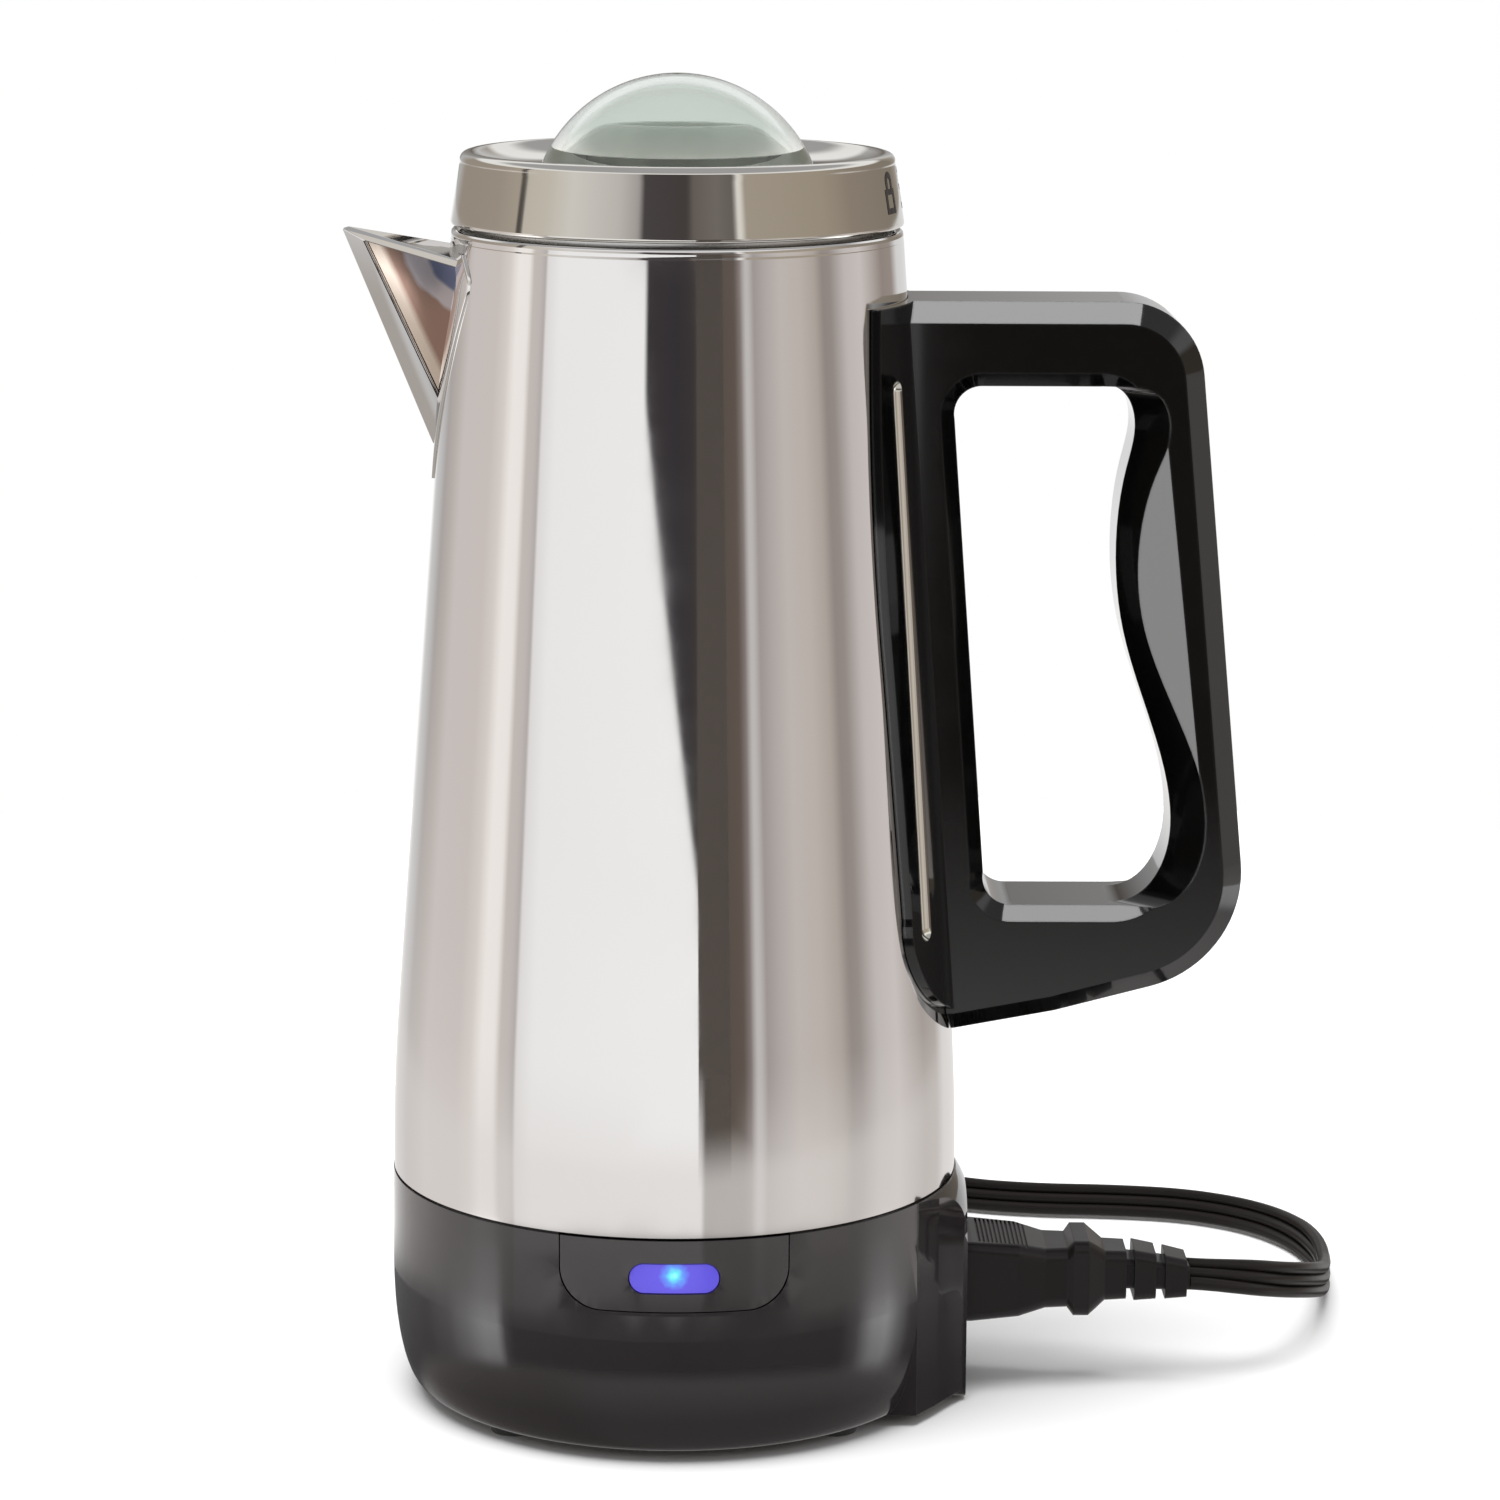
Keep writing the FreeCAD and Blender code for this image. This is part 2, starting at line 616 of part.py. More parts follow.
def inner_wiring():
    """Insulated leads between the inlet, thermostat, fuse, heater and lamp."""
    legs = [polar(ELEMENT_R, degrees, 0) for degrees in ELEMENT_ENDS]
    tab_y = 18.0
    routes = [
        [(47.9, 7, INLET_Z - 2), (38, 8, INLET_Z - 1), (24, 9.5, 34), (legs[0].x, legs[0].y, 37.4)],
        [(47.9, -7, INLET_Z - 2), (44, -14, 34), (38, -26, 48), (33, -34.2, FLOOR_Z - 8)],
        [(33, -7.8, FLOOR_Z - 8), (33, -2, 52), (25, -8, 40), (legs[1].x, legs[1].y, 37.4)],
        [(47.9, 0, INLET_Z + 2), (30, 1, 27), (-10, 9, 26), (-36, 13, 34), (-40, tab_y - 4, 48.9)],
        [(-40, tab_y + 4, 48.9), (-44, 25, 36), (-52, 6, 34), (-50, -19, 54.4)],
        [(-34, -19, 54.4), (-30, -26, 38), (-10, -44, 40), (-3, -57.5, LENS_Z - 2)]]
    return Part.makeCompound([tube(route, 1.3) for route in routes])


# ---------------------------------------------------------------- handle
def handle_block():
    """The handle's bar before its opening: straight sides with large rounded corners."""
    corners = [V(40, 0, 280.5), V(128.2, 0, 280.5), V(144.5, 0, 114.0), V(95.5, 0, 101.2),
               V(70.4, 0, 96.6), V(40, 0, 96.6)]
    outline = Part.Face(Part.makePolygon(corners + corners[:1]))
    outline.translate(V(0, -HANDLE_HALF_W, 0))
    block = outline.extrude(V(0, 2 * HANDLE_HALF_W, 0))
    for corner, radius in [(corners[1], 20.0), (corners[2], 30.0)]:
        middle = V(corner.x, 0, corner.z)
        across = [e for e in block.Edges if e.CenterOfMass.distanceToPoint(middle) < 0.5]
        block = block.makeFillet(radius, across)
    return block


def finger_hole():
    """Side view of the finger opening: straight at the body, waved at the grip."""
    grip = [(104.0, 259.7), (111.2, 256.8), (113.2, 251.0), (111.4, 239.0), (109.2, 221.0),
            (111.2, 199.0), (118.4, 176.0), (123.8, 156.0), (123.2, 141.0), (118.0, 132.0),
            (109.0, 128.9)]
    curve = Part.BSplineCurve()
    curve.interpolate([V(x, 0, z) for x, z in grip])
    rest = edge_chain(grip[-1], [
        (84.5, 128.9), ((78.9, 131.2), (77.1, 137.5)), (68.4, 251.5),
        ((70.0, 257.4), (75.5, 259.7)), grip[0]])
    return Part.Face(Part.Wire([curve.toShape()] + rest))


def bar_edges(shape):
    """Edges in the bar's two flat sides, without those buried in the body."""
    found = []
    for edge in shape.Edges:
        bounds = edge.BoundBox
        flat = abs(abs(bounds.YMin) - HANDLE_HALF_W) < 0.01 and bounds.YLength < 0.01
        if flat and bounds.XMax > 41:
            found.append(edge)
    return found


def edges_within(edges, bounds):
    """Those edges that lie in a bounding box seen along Y."""
    return [e for e in edges
            if e.BoundBox.XMin > bounds.XMin - 0.5 and e.BoundBox.XMax < bounds.XMax + 0.5
            and e.BoundBox.ZMin > bounds.ZMin - 0.5 and e.BoundBox.ZMax < bounds.ZMax + 0.5]


def saddle_prism():
    """The saddle plate's outline seen along X, wide on the body and pointed at the bottom."""
    outline = face_xz((-33.0, 280.5), [
        (33.0, 280.5), ((37.4, 236.0), (38.6, 190.0)), (38.9, 131.0),
        ((35.0, 113.6), (22.0, 104.6)), (0, 96.8), (-22.0, 104.6),
        ((-35.0, 113.6), (-38.9, 131.0)), (-38.6, 190.0), ((-37.4, 236.0), (-33.0, 280.5))])
    outline.rotate(ORIGIN, UP, 90)
    return outline.extrude(V(90, 0, 0))


def saddle_groove(side):
    """The long ball-ended hollow on one flank of the saddle."""
    depth = 3.2
    low = polar(cone_radius(127.0) + SADDLE_T + 1.9, side * 28.0, 127.0)
    high = polar(cone_radius(260.0) + SADDLE_T + 1.9, side * 28.0, 260.0)
    axis = high - low
    rod = Part.makeCylinder(depth, axis.Length, low, axis)
    return fused([rod, Part.makeSphere(depth, low), Part.makeSphere(depth, high)])


def grip_facet(side):
    """Wedge that leaves a slanted facet between the grip's straight edge and its waved one."""
    y = side * HANDLE_HALF_W
    top, low, inside = V(119.6, y, 256.0), V(130.8, y, 160.0), V(104.0, y * 0.635, 205.0)
    out = V(0, side * 6, 0)
    corners = [top, low, inside]
    outer = [top + out, low + out, V(inside.x, y, inside.z) + out]
    loops = [corners, outer[::-1]]
    for i in range(3):
        j = (i + 1) % 3
        loops.append([corners[j], corners[i], outer[i]])
        loops.append([corners[j], outer[i], outer[j]])
    faces = [Part.Face(Part.makePolygon(loop + loop[:1])) for loop in loops]
    solid = Part.makeSolid(Part.makeShell(faces))
    if solid.Volume < 0:
        solid.reverse()
    return solid


def grip_bevel(side):
    """The finger opening pushed slantwise into the bar, which bevels its waved side only."""
    out = 1.0
    hole = finger_hole()
    hole.translate(V(GRIP_BEVEL + out, side * (HANDLE_HALF_W + out), 0))
    return hole.extrude(V(-GRIP_BEVEL - out, -side * (GRIP_BEVEL + out), 0))


def handle():
    """Moulded D-shaped handle: bevelled bar, finger opening and saddle plate."""
    hole = finger_hole()
    hole.translate(V(0, -HANDLE_HALF_W - 1, 0))
    bar = handle_block()
    bar = bar.makeChamfer(HANDLE_BEVEL, bar_edges(bar))
    bar = bar.cut(hole.extrude(V(0, 2 * HANDLE_HALF_W + 2, 0)))
    bar = bar.makeChamfer(OPENING_BEVEL, edges_within(bar_edges(bar), hole.BoundBox))
    for side in (-1, 1):
        bar = bar.cut(grip_facet(side))
        bar = bar.cut(grip_bevel(side))
    saddle = body_plug(SADDLE_T + FIT, 281).cut(body_plug(FIT, 282)).common(saddle_prism())
    whole = fused([bar, saddle]).cut(body_plug(FIT, 283))
    for side in (-1, 1):
        whole = whole.cut(saddle_groove(side))
    for cutter in [bracket_seat(z) for z in BRACKET_ZS] + [screw_hole(z) for z in BRACKET_ZS]:
        whole = whole.cut(cutter)
    return max(whole.Solids, key=lambda s: s.Volume)


def bracket_solid(z, grow):
    """A welded steel lug that stands out of the body and enters the handle."""
    r = cone_radius(z)
    return box(r - 2, r + BRACKET_REACH + grow, -6 - grow, 6 + grow, z - 4 - grow, z + 4 + grow)


def bracket_seat(z):
    return bracket_solid(z, 0.2)


def screw_hole(z):
    r = cone_radius(z)
    return cylinder(2.1, 24, (r + BRACKET_REACH - 4.5, 22, z), V(0, -1, 0))


def handle_brackets():
    lugs = []
    for z in BRACKET_ZS:
        r = cone_radius(z)
        lug = bracket_solid(z, 0).cut(body_plug(0.02))
        lugs.append(lug.cut(cylinder(1.65, 30, (r + BRACKET_REACH - 4.5, -15, z), V(0, 1, 0))))
    return Part.makeCompound(lugs)


def handle_screws():
    """Two screws that cross the lugs from the handle's far side."""
    screws = []
    for z in BRACKET_ZS:
        x = cone_radius(z) + BRACKET_REACH - 4.5
        screws.append(cylinder(1.6, 18, (x, HANDLE_HALF_W - 1.5, z), V(0, -1, 0)))
    return Part.makeCompound(screws)


# ---------------------------------------------------------------- brewing parts
def perk_stem():
    """Pump tube with a bell foot and the bead that carries the basket."""
    z0 = FLOOR_Z - WELL_DEPTH + FLOOR_T + 0.05
    r = FOOT_BELL_R
    return turned((STEM_BORE, z0 + 10.4), [
        ((r * 0.55, z0 + 8.2), (r - 0.8, z0 + 2.4)), (r - 0.8, z0), (r, z0), (r, z0 + 2.7),
        ((r * 0.58, z0 + 9.6), (STEM_R, z0 + 12.5)), (STEM_R, STOP_Z - 1.2), (STEM_R + 1.6, STOP_Z - 0.2),
        (STEM_R + 1.6, STOP_Z + 0.6), (STEM_R, STOP_Z + 1.2), (STEM_R, STEM_TOP), (STEM_BORE, STEM_TOP)])


def valve_disc():
    """Loose steel washer under the bell that lifts as the steam pulses."""
    z0 = FLOOR_Z - WELL_DEPTH + FLOOR_T + 0.2
    return ring(5.0, 13.2, z0, z0 + 0.8)


def basket_holes(radius_list, z0, z1, hole_r):
    holes = []
    for radius in radius_list:
        count = int(2 * math.pi * radius / 6.5)
        hole = cylinder(hole_r, z1 - z0, (radius, 0, z0))
        holes += around(hole, [360.0 * i / count for i in range(count)])
    return Part.makeCompound(holes)


def coffee_basket():
    """Steel basket with a perforated floor and a centre sleeve for the stem."""
    t = 0.7
    r = BASKET_R
    z0 = BASKET_Z0
    z1 = BASKET_Z1
    cup = turned((SLEEVE_BORE, z0), [
        (r - 3.5, z0), ((r - 1.9, z0 + 0.6), (r - 1.4, z0 + 2.2)), (r - 0.4, z1 - 2.2),
        (r + 1.2, z1 - 1.4), (r + 1.2, z1), (r - 0.6, z1), (r - t - 0.5, z1 - 1.6),
        (r - t - 1.4, z0 + 2.4), ((r - t - 1.9, z0 + 1.1), (r - t - 3.5, z0 + t)), (SLEEVE_R + 1, z0 + t),
        (SLEEVE_R, z0 + t + 1), (SLEEVE_R, z1 + 4), (SLEEVE_BORE, z1 + 4)])
    return cup.cut(basket_holes([12, 18, 24, 30, 36], z0 - 1, z0 + 1.6, 0.9))


def basket_spreader():
    """Perforated cover that drips the water evenly over the coffee."""
    z = BASKET_Z1 + 0.3
    r = BASKET_R + 2.6
    disc = turned((SLEEVE_R + 0.6, z), [
        (r - 0.9, z), (r - 0.9, z - 4), (r, z - 4), (r, z + 0.7), (r - 6, z + 0.8),
        (r - 9, z + 0.7), (SLEEVE_R + 6, z + 0.7), (SLEEVE_R + 3, z + 2.4), (SLEEVE_R + 0.6, z + 2.4),
        (SLEEVE_R + 0.6, z + 1.7), (SLEEVE_R + 2.4, z + 1.7), (SLEEVE_R + 4.2, z + 0.4),
        (SLEEVE_R + 0.6, z + 0.4)])
    return max(disc.cut(basket_holes([15, 21, 27, 33], z - 1, z + 3, 0.9)).Solids,
               key=lambda s: s.Volume)


# ---------------------------------------------------------------- lid
def lid_shell():
    """Polished outer cap: flared side, rounded top edge and a dish that slopes to the knob."""
    t = SHEET
    r0, r1 = LID_R0, LID_R1
    top = LID_TOP
    return turned((r0, LID_Z0), [
        (r0, LID_Z0 + 0.5), (r1 + 0.15, top - 1.7), ((r1 - 0.3, top - 0.45), (r1 - 1.7, top)),
        (r1 - 2.4, top - 0.1), ((DISH_R - 0.6, DISH_Z + 3.2), (DISH_R - 10, DISH_Z + 0.6)),
        (KNOB_HOLE_R, DISH_Z), (KNOB_HOLE_R, DISH_Z - t), (DISH_R - 10, DISH_Z + 0.6 - t),
        ((DISH_R - 0.3, DISH_Z + 2.1), (r1 - 2.6, top - 0.1 - t)), (r1 - 1.8, top - t),
        ((r1 - 0.95, top - 1.1), (r1 - 0.8, top - 1.9)), (r0 - t, LID_Z0 + 0.4), (r0 - t, LID_Z0)])


def lid_pan():
    """Inner steel pan with the skirt that enters the neck, crimped inside the cap."""
    t = SHEET
    z = LID_Z0 + 0.3
    outer = LID_R0 - t - 0.5
    s = SKIRT_R
    floor_z = 303.2
    return turned((COLLAR_R + 1.0, floor_z), [
        (s - t - 3, floor_z), ((s - t - 0.9, floor_z - 0.9), (s - t, floor_z - 3)),
        (s - t, SKIRT_Z0), (s, SKIRT_Z0), (s, z), (outer, z), (outer, z + 1.4),
        (outer - t, z + 1.4), (outer - t, z + t), (s + 0.6, z + t), (s - 0.2, z + t + 1.5),
        ((s - 1.2, floor_z + t - 0.2), (s - 4, floor_z + t)), (COLLAR_R + 1.0, floor_z + t)])


def lid_gasket():
    """Silicone sealing ring with two lips, round the skirt and inside the rim."""
    r_in = SKIRT_R + 0.1
    r_out = NECK_R - 2.3 - 0.3
    return turned((r_in, 288.5), [
        (r_in + 0.8, 288.5), (r_out, 290.6), (r_out, 291.4), (r_in + 0.8, 292.4), (r_out, 294.0),
        (r_out, 296.8), (r_in, 296.8)])


def glass_knob():
    """Hollow glass dome with a raised throat inside and a collar that passes through the lid."""
    centre = TOTAL_H - DOME_R
    base = DOME_BASE_Z
    rim_r = math.sqrt(DOME_R ** 2 - (base + 1.4 - centre) ** 2)
    mid_z = centre + DOME_R * math.sin(math.radians(57))
    mid_r = DOME_R * math.cos(math.radians(57))
    inner_r = DOME_R - DOME_WALL
    low = base + 4.2
    low_r = math.sqrt(inner_r ** 2 - (low - centre) ** 2)
    in_mid = math.radians(60)
    bore = COLLAR_BORE
    return turned((bore, COLLAR_Z0), [
        (COLLAR_R, COLLAR_Z0), (COLLAR_R, base), (rim_r - 1.2, base),
        ((rim_r - 0.2, base + 0.4), (rim_r, base + 1.4)), ((mid_r, mid_z), (0, TOTAL_H)),
        (0, TOTAL_H - DOME_WALL),
        ((inner_r * math.cos(in_mid), centre + inner_r * math.sin(in_mid)), (low_r, low)),
        ((bore + 8.0, THROAT_Z - 2.4), (bore + 2.2, THROAT_Z)),
        ((bore + 0.6, THROAT_Z - 0.5), (bore, THROAT_Z - 2.0))])


def knob_seal():
    """Flat silicone washer between the glass and the lid."""
    return ring(COLLAR_R + 0.2, KNOB_HOLE_R + 8.0, DISH_Z + 0.55, DOME_BASE_Z - 0.05)


def knob_nut():
    """Plastic ring on the collar, under the cap, that holds the knob."""
    top = DISH_Z - SHEET - 0.1
    body = ring(COLLAR_R + 0.06, COLLAR_R + 5.0, top - 4.0, top)
    notches = around(box(COLLAR_R + 3.6, COLLAR_R + 6, -1.5, 1.5, top - 5, top + 1), range(0, 360, 30))
    for notch in notches:
        body = body.cut(notch)
    return body


# ---------------------------------------------------------------- mains lead
def loft_sections(sections):
    """A solid through rounded rectangles across X. Each is (x, half width, half height, z, corner)."""
    wires = []
    for x, w, h, z, r in sections:
        k = r * (1 - math.sqrt(0.5))
        pts = [(w - r, -h), (w, -h + r), (w, h - r), (w - r, h),
               (-w + r, h), (-w, h - r), (-w, -h + r), (-w + r, -h)]
        mids = [(w - k, -h + k), (w - k, h - k), (-w + k, h - k), (-w + k, -h + k)]
        edges = []
        for i in range(4):
            a = V(x, pts[2 * i][0], z + pts[2 * i][1])
            m = V(x, mids[i][0], z + mids[i][1])
            b = V(x, pts[2 * i + 1][0], z + pts[2 * i + 1][1])
            c = V(x, pts[(2 * i + 2) % 8][0], z + pts[(2 * i + 2) % 8][1])
            edges.append(Part.Arc(a, m, b).toShape())
            edges.append(Part.LineSegment(b, c).toShape())
        wires.append(Part.Wire(edges))
    return Part.makeLoft(wires, True, True)


def connector():
    """Appliance connector: nose in the inlet, grip with ribs on top, waist and collar."""
    z = INLET_Z
    w = CONNECTOR_W / 2
    h = CONNECTOR_H / 2
    body = loft_sections([
        (58.2, w, h, z, 2.5), (76.0, w, h, z, 2.5), (88.0, w - 0.8, h - 0.9, z, 3.0),
        (95.0, w - 2.6, h - 2.6, z, 3.2), (100.6, w - 3.4, h - 2.6, z, 3.2),
        (102.2, w - 2.6, h - 0.6, z, 3.0), (106.0, w - 2.6, h - 0.6, z, 3.0),
        (110.4, 8.0, 6.6, z, 2.6), (115.9, 7.6, 6.4, z, 2.6)])
    ribs = []
    for i in range(12):
        x = 77.6 + 1.1 * i
        top = z + h - 0.075 * max(0.0, x - 76.0) - 0.16 * max(0.0, x - 88.0)
        ribs.append(box(x, x + 0.5, -10.5, 10.5, top - 0.6, top + 1))
    slots = [box(55, PIN_X1 + 0.4, y - 2.4, y + 2.4, pz - 2.6, pz + 2.6) for y, pz in pin_places()]
    for cutter in ribs + slots:
        body = body.cut(cutter)
    return body


def connector_contacts():
    """Three spring sleeves inside the connector that grip the inlet's blades."""
    sleeves = []
    for y, z in pin_places():
        outer = box(59.0, PIN_X1 + 0.2, y - 2.2, y + 2.2, z - 2.5, z + 2.5)
        sleeves.append(outer.cut(box(58, PIN_X1 - 1.0, y - 1.3, y + 1.3, z - 2.25, z + 2.25)))
    return Part.makeCompound(sleeves)


def strain_relief():
    """Ribbed rubber sleeve: a core and two rings, drooping a little towards the cord."""
    z = INLET_Z
    core = loft_sections([(115.95, 5.8, 4.0, z, 1.8), (124, 5.4, 3.7, z - 0.6, 1.8),
                          (132.4, 5.1, 3.2, z - 1.3, 1.6)])
    first = loft_sections([(118.0, 7.4, 6.7, z - 0.1, 2.4), (123.6, 7.0, 6.0, z - 0.5, 2.4)])
    second = loft_sections([(126.0, 6.8, 5.8, z - 0.7, 2.2), (131.6, 6.3, 5.0, z - 1.2, 2.2)])
    return fused([core, first, second])


def cord_lead():
    """The visible stretch of the cord, from the connector round to the coil."""
    return tube(LEAD_ROUTE, CORD_R, "cord_lead")


def cord_tail():
    """The cord's end, from the coil over its turns to the plug."""
    return tube(TAIL_ROUTE, CORD_R, "cord_tail")


def cord_coil():
    """Outer shape of the coil's two turns, which stand on edge side by side."""
    half = CORD_T / 2 + 0.6
    coil = ring(COIL_R_IN - half, COIL_R_OUT + half, 0.1, CORD_W + 0.1)
    coil.translate(V(COIL_CENTRE[0], COIL_CENTRE[1], 0))
    return coil


def cord_tie():
    """Hook-and-loop strap round the turns, on the coil's near side."""
    x, y = COIL_CENTRE
    half = CORD_T / 2 + 0.75
    r_in = COIL_R_IN - half
    r_out = COIL_R_OUT + half
    top = CORD_W + 0.25
    y_in = y - r_in
    y_out = y - r_out
    outer = box(x - 7, x + 7, y_out - 1.2, y_in + 2.4, 0.0, top + 1.2)
    inner = ring(r_in, r_out, -1, top)
    inner.translate(V(x, y, 0))
    strap = outer.cut(inner)
    return max(strap.Solids, key=lambda s: s.Volume)


def along_plug(shape):
    """Turns a piece built along +X from the origin to the plug's place and heading."""
    placed = shape.copy()
    placed.rotate(ORIGIN, UP, math.degrees(math.atan2(PLUG_AXIS.y, PLUG_AXIS.x)))
    placed.translate(PLUG_START)
    return placed


def plug_body():
    """Moulded grounded plug with a tapered neck."""
    return along_plug(loft_sections([
        (0.05, 5.4, 3.6, 0, 1.8), (16, 6.6, 5.2, 0, 2.4), (20, 9.0, 8.0, 0, 3.4), (26, 11.5, 9.8, 0, 4.4),
        (34, 11.8, 10.2, 0, 4.6), (42, 12.0, 10.6, 0, 4.8)]))


def plug_pins():
    """Two flat blades and a round earth pin."""
    x0 = 42.05
    blades = [box(x0, x0 + 16, s * 6.35 - 0.75, s * 6.35 + 0.75, -0.1, 6.3) for s in (-1, 1)]
    earth = cylinder(2.4, 17, (x0, 0, -5.6), V(1, 0, 0))
    nose = Part.makeCone(2.4, 1.2, 2.0, V(x0 + 17, 0, -5.6), V(1, 0, 0))
    return along_plug(Part.makeCompound(blades + [fused([earth, nose])]))


# ---------------------------------------------------------------- export
NODES = [
    body_shell, spout, vessel_floor, base_housing, indicator_panel, indicator_lens, indicator_lamp,
    lamp_holder, base_cover, rubber_feet, cover_screws, heater_plate, heating_element, floor_studs,
    heater_bridge, stud_nuts, thermostat, keep_warm_heater, thermal_fuse, inlet_insert, inlet_pins,
    inner_wiring, handle, handle_brackets, handle_screws, perk_stem, valve_disc, coffee_basket,
    basket_spreader, lid_shell, lid_pan, lid_gasket, glass_knob, knob_seal, knob_nut, connector,
    connector_contacts, strain_relief, cord_lead, cord_coil, cord_tail, cord_tie, plug_body, plug_pins]


def main():
    os.makedirs("parts", exist_ok=True)
    for make in NODES:
        shape = make()
        good = shape.isValid() and all(s.Volume > 0 for s in shape.Solids)
        state = "" if good else "BAD"
        print(make.__name__, "solids", len(shape.Solids), "volume", round(shape.Volume), state)
        shape.exportStep("parts/" + make.__name__ + ".step")


main()
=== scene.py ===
"""Looks of an electric coffee percolator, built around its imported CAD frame.

Everything is in metres in the CAD's own frame: +Z up, the origin on the pot's axis at the
surface it stands on, the indicator light towards -Y, the handle at +X and the spout at -X.
"""
import json
import math

import bmesh
import bpy
from mathutils import Matrix, Vector


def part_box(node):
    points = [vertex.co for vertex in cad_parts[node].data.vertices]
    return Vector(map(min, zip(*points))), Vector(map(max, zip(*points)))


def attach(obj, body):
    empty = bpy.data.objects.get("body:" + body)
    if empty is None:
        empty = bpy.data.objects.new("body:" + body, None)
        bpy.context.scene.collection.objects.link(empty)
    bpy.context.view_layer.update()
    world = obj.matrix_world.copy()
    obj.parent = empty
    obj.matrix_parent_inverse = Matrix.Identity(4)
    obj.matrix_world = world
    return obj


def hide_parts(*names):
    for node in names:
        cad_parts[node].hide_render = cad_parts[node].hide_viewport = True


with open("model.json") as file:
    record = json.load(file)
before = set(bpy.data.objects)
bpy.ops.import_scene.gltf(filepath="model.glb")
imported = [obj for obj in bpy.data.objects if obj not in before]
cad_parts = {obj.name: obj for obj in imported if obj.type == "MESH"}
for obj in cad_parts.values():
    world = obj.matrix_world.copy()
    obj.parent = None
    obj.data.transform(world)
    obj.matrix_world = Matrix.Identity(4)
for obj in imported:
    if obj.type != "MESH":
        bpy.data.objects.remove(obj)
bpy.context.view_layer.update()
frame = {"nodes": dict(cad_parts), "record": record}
NODES = frame["nodes"]
MM = 0.001
UP = Vector((0, 0, 1))


# ---------------------------------------------------------------- camera
CAMERA_DISTANCE = 1.2284
CAMERA_HEIGHT = 0.4084
CAMERA_PITCH = 0.1951       # downwards, radians
CAMERA_YAW = 0.01522        # to the right
CAMERA_ROLL = 0.0060
LENS_MM = 119.2


def make_camera():
    """The photo's camera, fitted so that the outlines agree."""
    data = bpy.data.cameras.new("camera")
    data.lens = LENS_MM
    data.sensor_width = 36.0
    data.clip_end = 50.0
    camera = bpy.data.objects.new("camera", data)
    bpy.context.scene.collection.objects.link(camera)
    turn = (Matrix.Rotation(-CAMERA_YAW, 4, "Z")
            @ Matrix.Rotation(math.pi / 2 - CAMERA_PITCH, 4, "X")
            @ Matrix.Rotation(CAMERA_ROLL, 4, "Z"))
    camera.matrix_world = Matrix.Translation((0, -CAMERA_DISTANCE, CAMERA_HEIGHT)) @ turn
    bpy.context.scene.camera = camera


# ---------------------------------------------------------------- mesh helpers
def link(name, mesh):
    """A new object in the scene that shows a mesh."""
    piece = bpy.data.objects.new(name, mesh)
    bpy.context.scene.collection.objects.link(piece)
    return piece


def smooth(mesh, degrees=32.0):
    """Smooth shading, with edges sharper than an angle kept sharp."""
    mesh.shade_smooth()
    mesh.set_sharp_from_angle(angle=math.radians(degrees))


def mesh_piece(name, vertices, faces, degrees=32.0):
    """A piece from vertices in metres, with doubles joined and normals turned outwards."""
    mesh = bpy.data.meshes.new(name)
    mesh.from_pydata([tuple(v) for v in vertices], [], faces)
    mesh.validate()
    bm = bmesh.new()
    bm.from_mesh(mesh)
    bmesh.ops.remove_doubles(bm, verts=bm.verts, dist=1e-6)
    bmesh.ops.recalc_face_normals(bm, faces=bm.faces)
    bm.to_mesh(mesh)
    bm.free()
    smooth(mesh, degrees)
    return link(name, mesh)


def arc(centre, radius, start, end, count):
    """Points (r, z) on an arc, angles in degrees."""
    points = []
    for i in range(count + 1):
        a = math.radians(start + (end - start) * i / count)
        points.append((centre[0] + radius * math.cos(a), centre[1] + radius * math.sin(a)))
    return points


def lathe(name, profile, segments=192, degrees=32.0):
    """A closed surface turned about Z from a closed outline of (r, z) in millimetres."""
    vertices = []
    for r, z in profile:
        for i in range(segments):
            a = 2 * math.pi * i / segments
            vertices.append((r * MM * math.cos(a), r * MM * math.sin(a), z * MM))
    faces = []
    rows = len(profile)
    for j in range(rows):
        k = (j + 1) % rows
        for i in range(segments):
            n = (i + 1) % segments
            faces.append((j * segments + i, j * segments + n, k * segments + n, k * segments + i))
    return mesh_piece(name, vertices, faces, degrees)


def apply_modifier(piece, kind, **settings):
    """Adds a modifier and keeps its result as the piece's mesh."""
    modifier = piece.modifiers.new(kind.lower(), kind)
    for key, value in settings.items():
        setattr(modifier, key, value)
    bpy.context.view_layer.update()
    graph = bpy.context.evaluated_depsgraph_get()
    mesh = bpy.data.meshes.new_from_object(piece.evaluated_get(graph))
    piece.modifiers.clear()
    piece.data = mesh


def dress(piece, slot, body, material=None):
    """Gives a piece its material slot, its material and the body it rides on."""
    piece.data.materials.clear()
    piece.data.materials.append(MATERIALS[material or slot])
    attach(piece, body)
    return piece


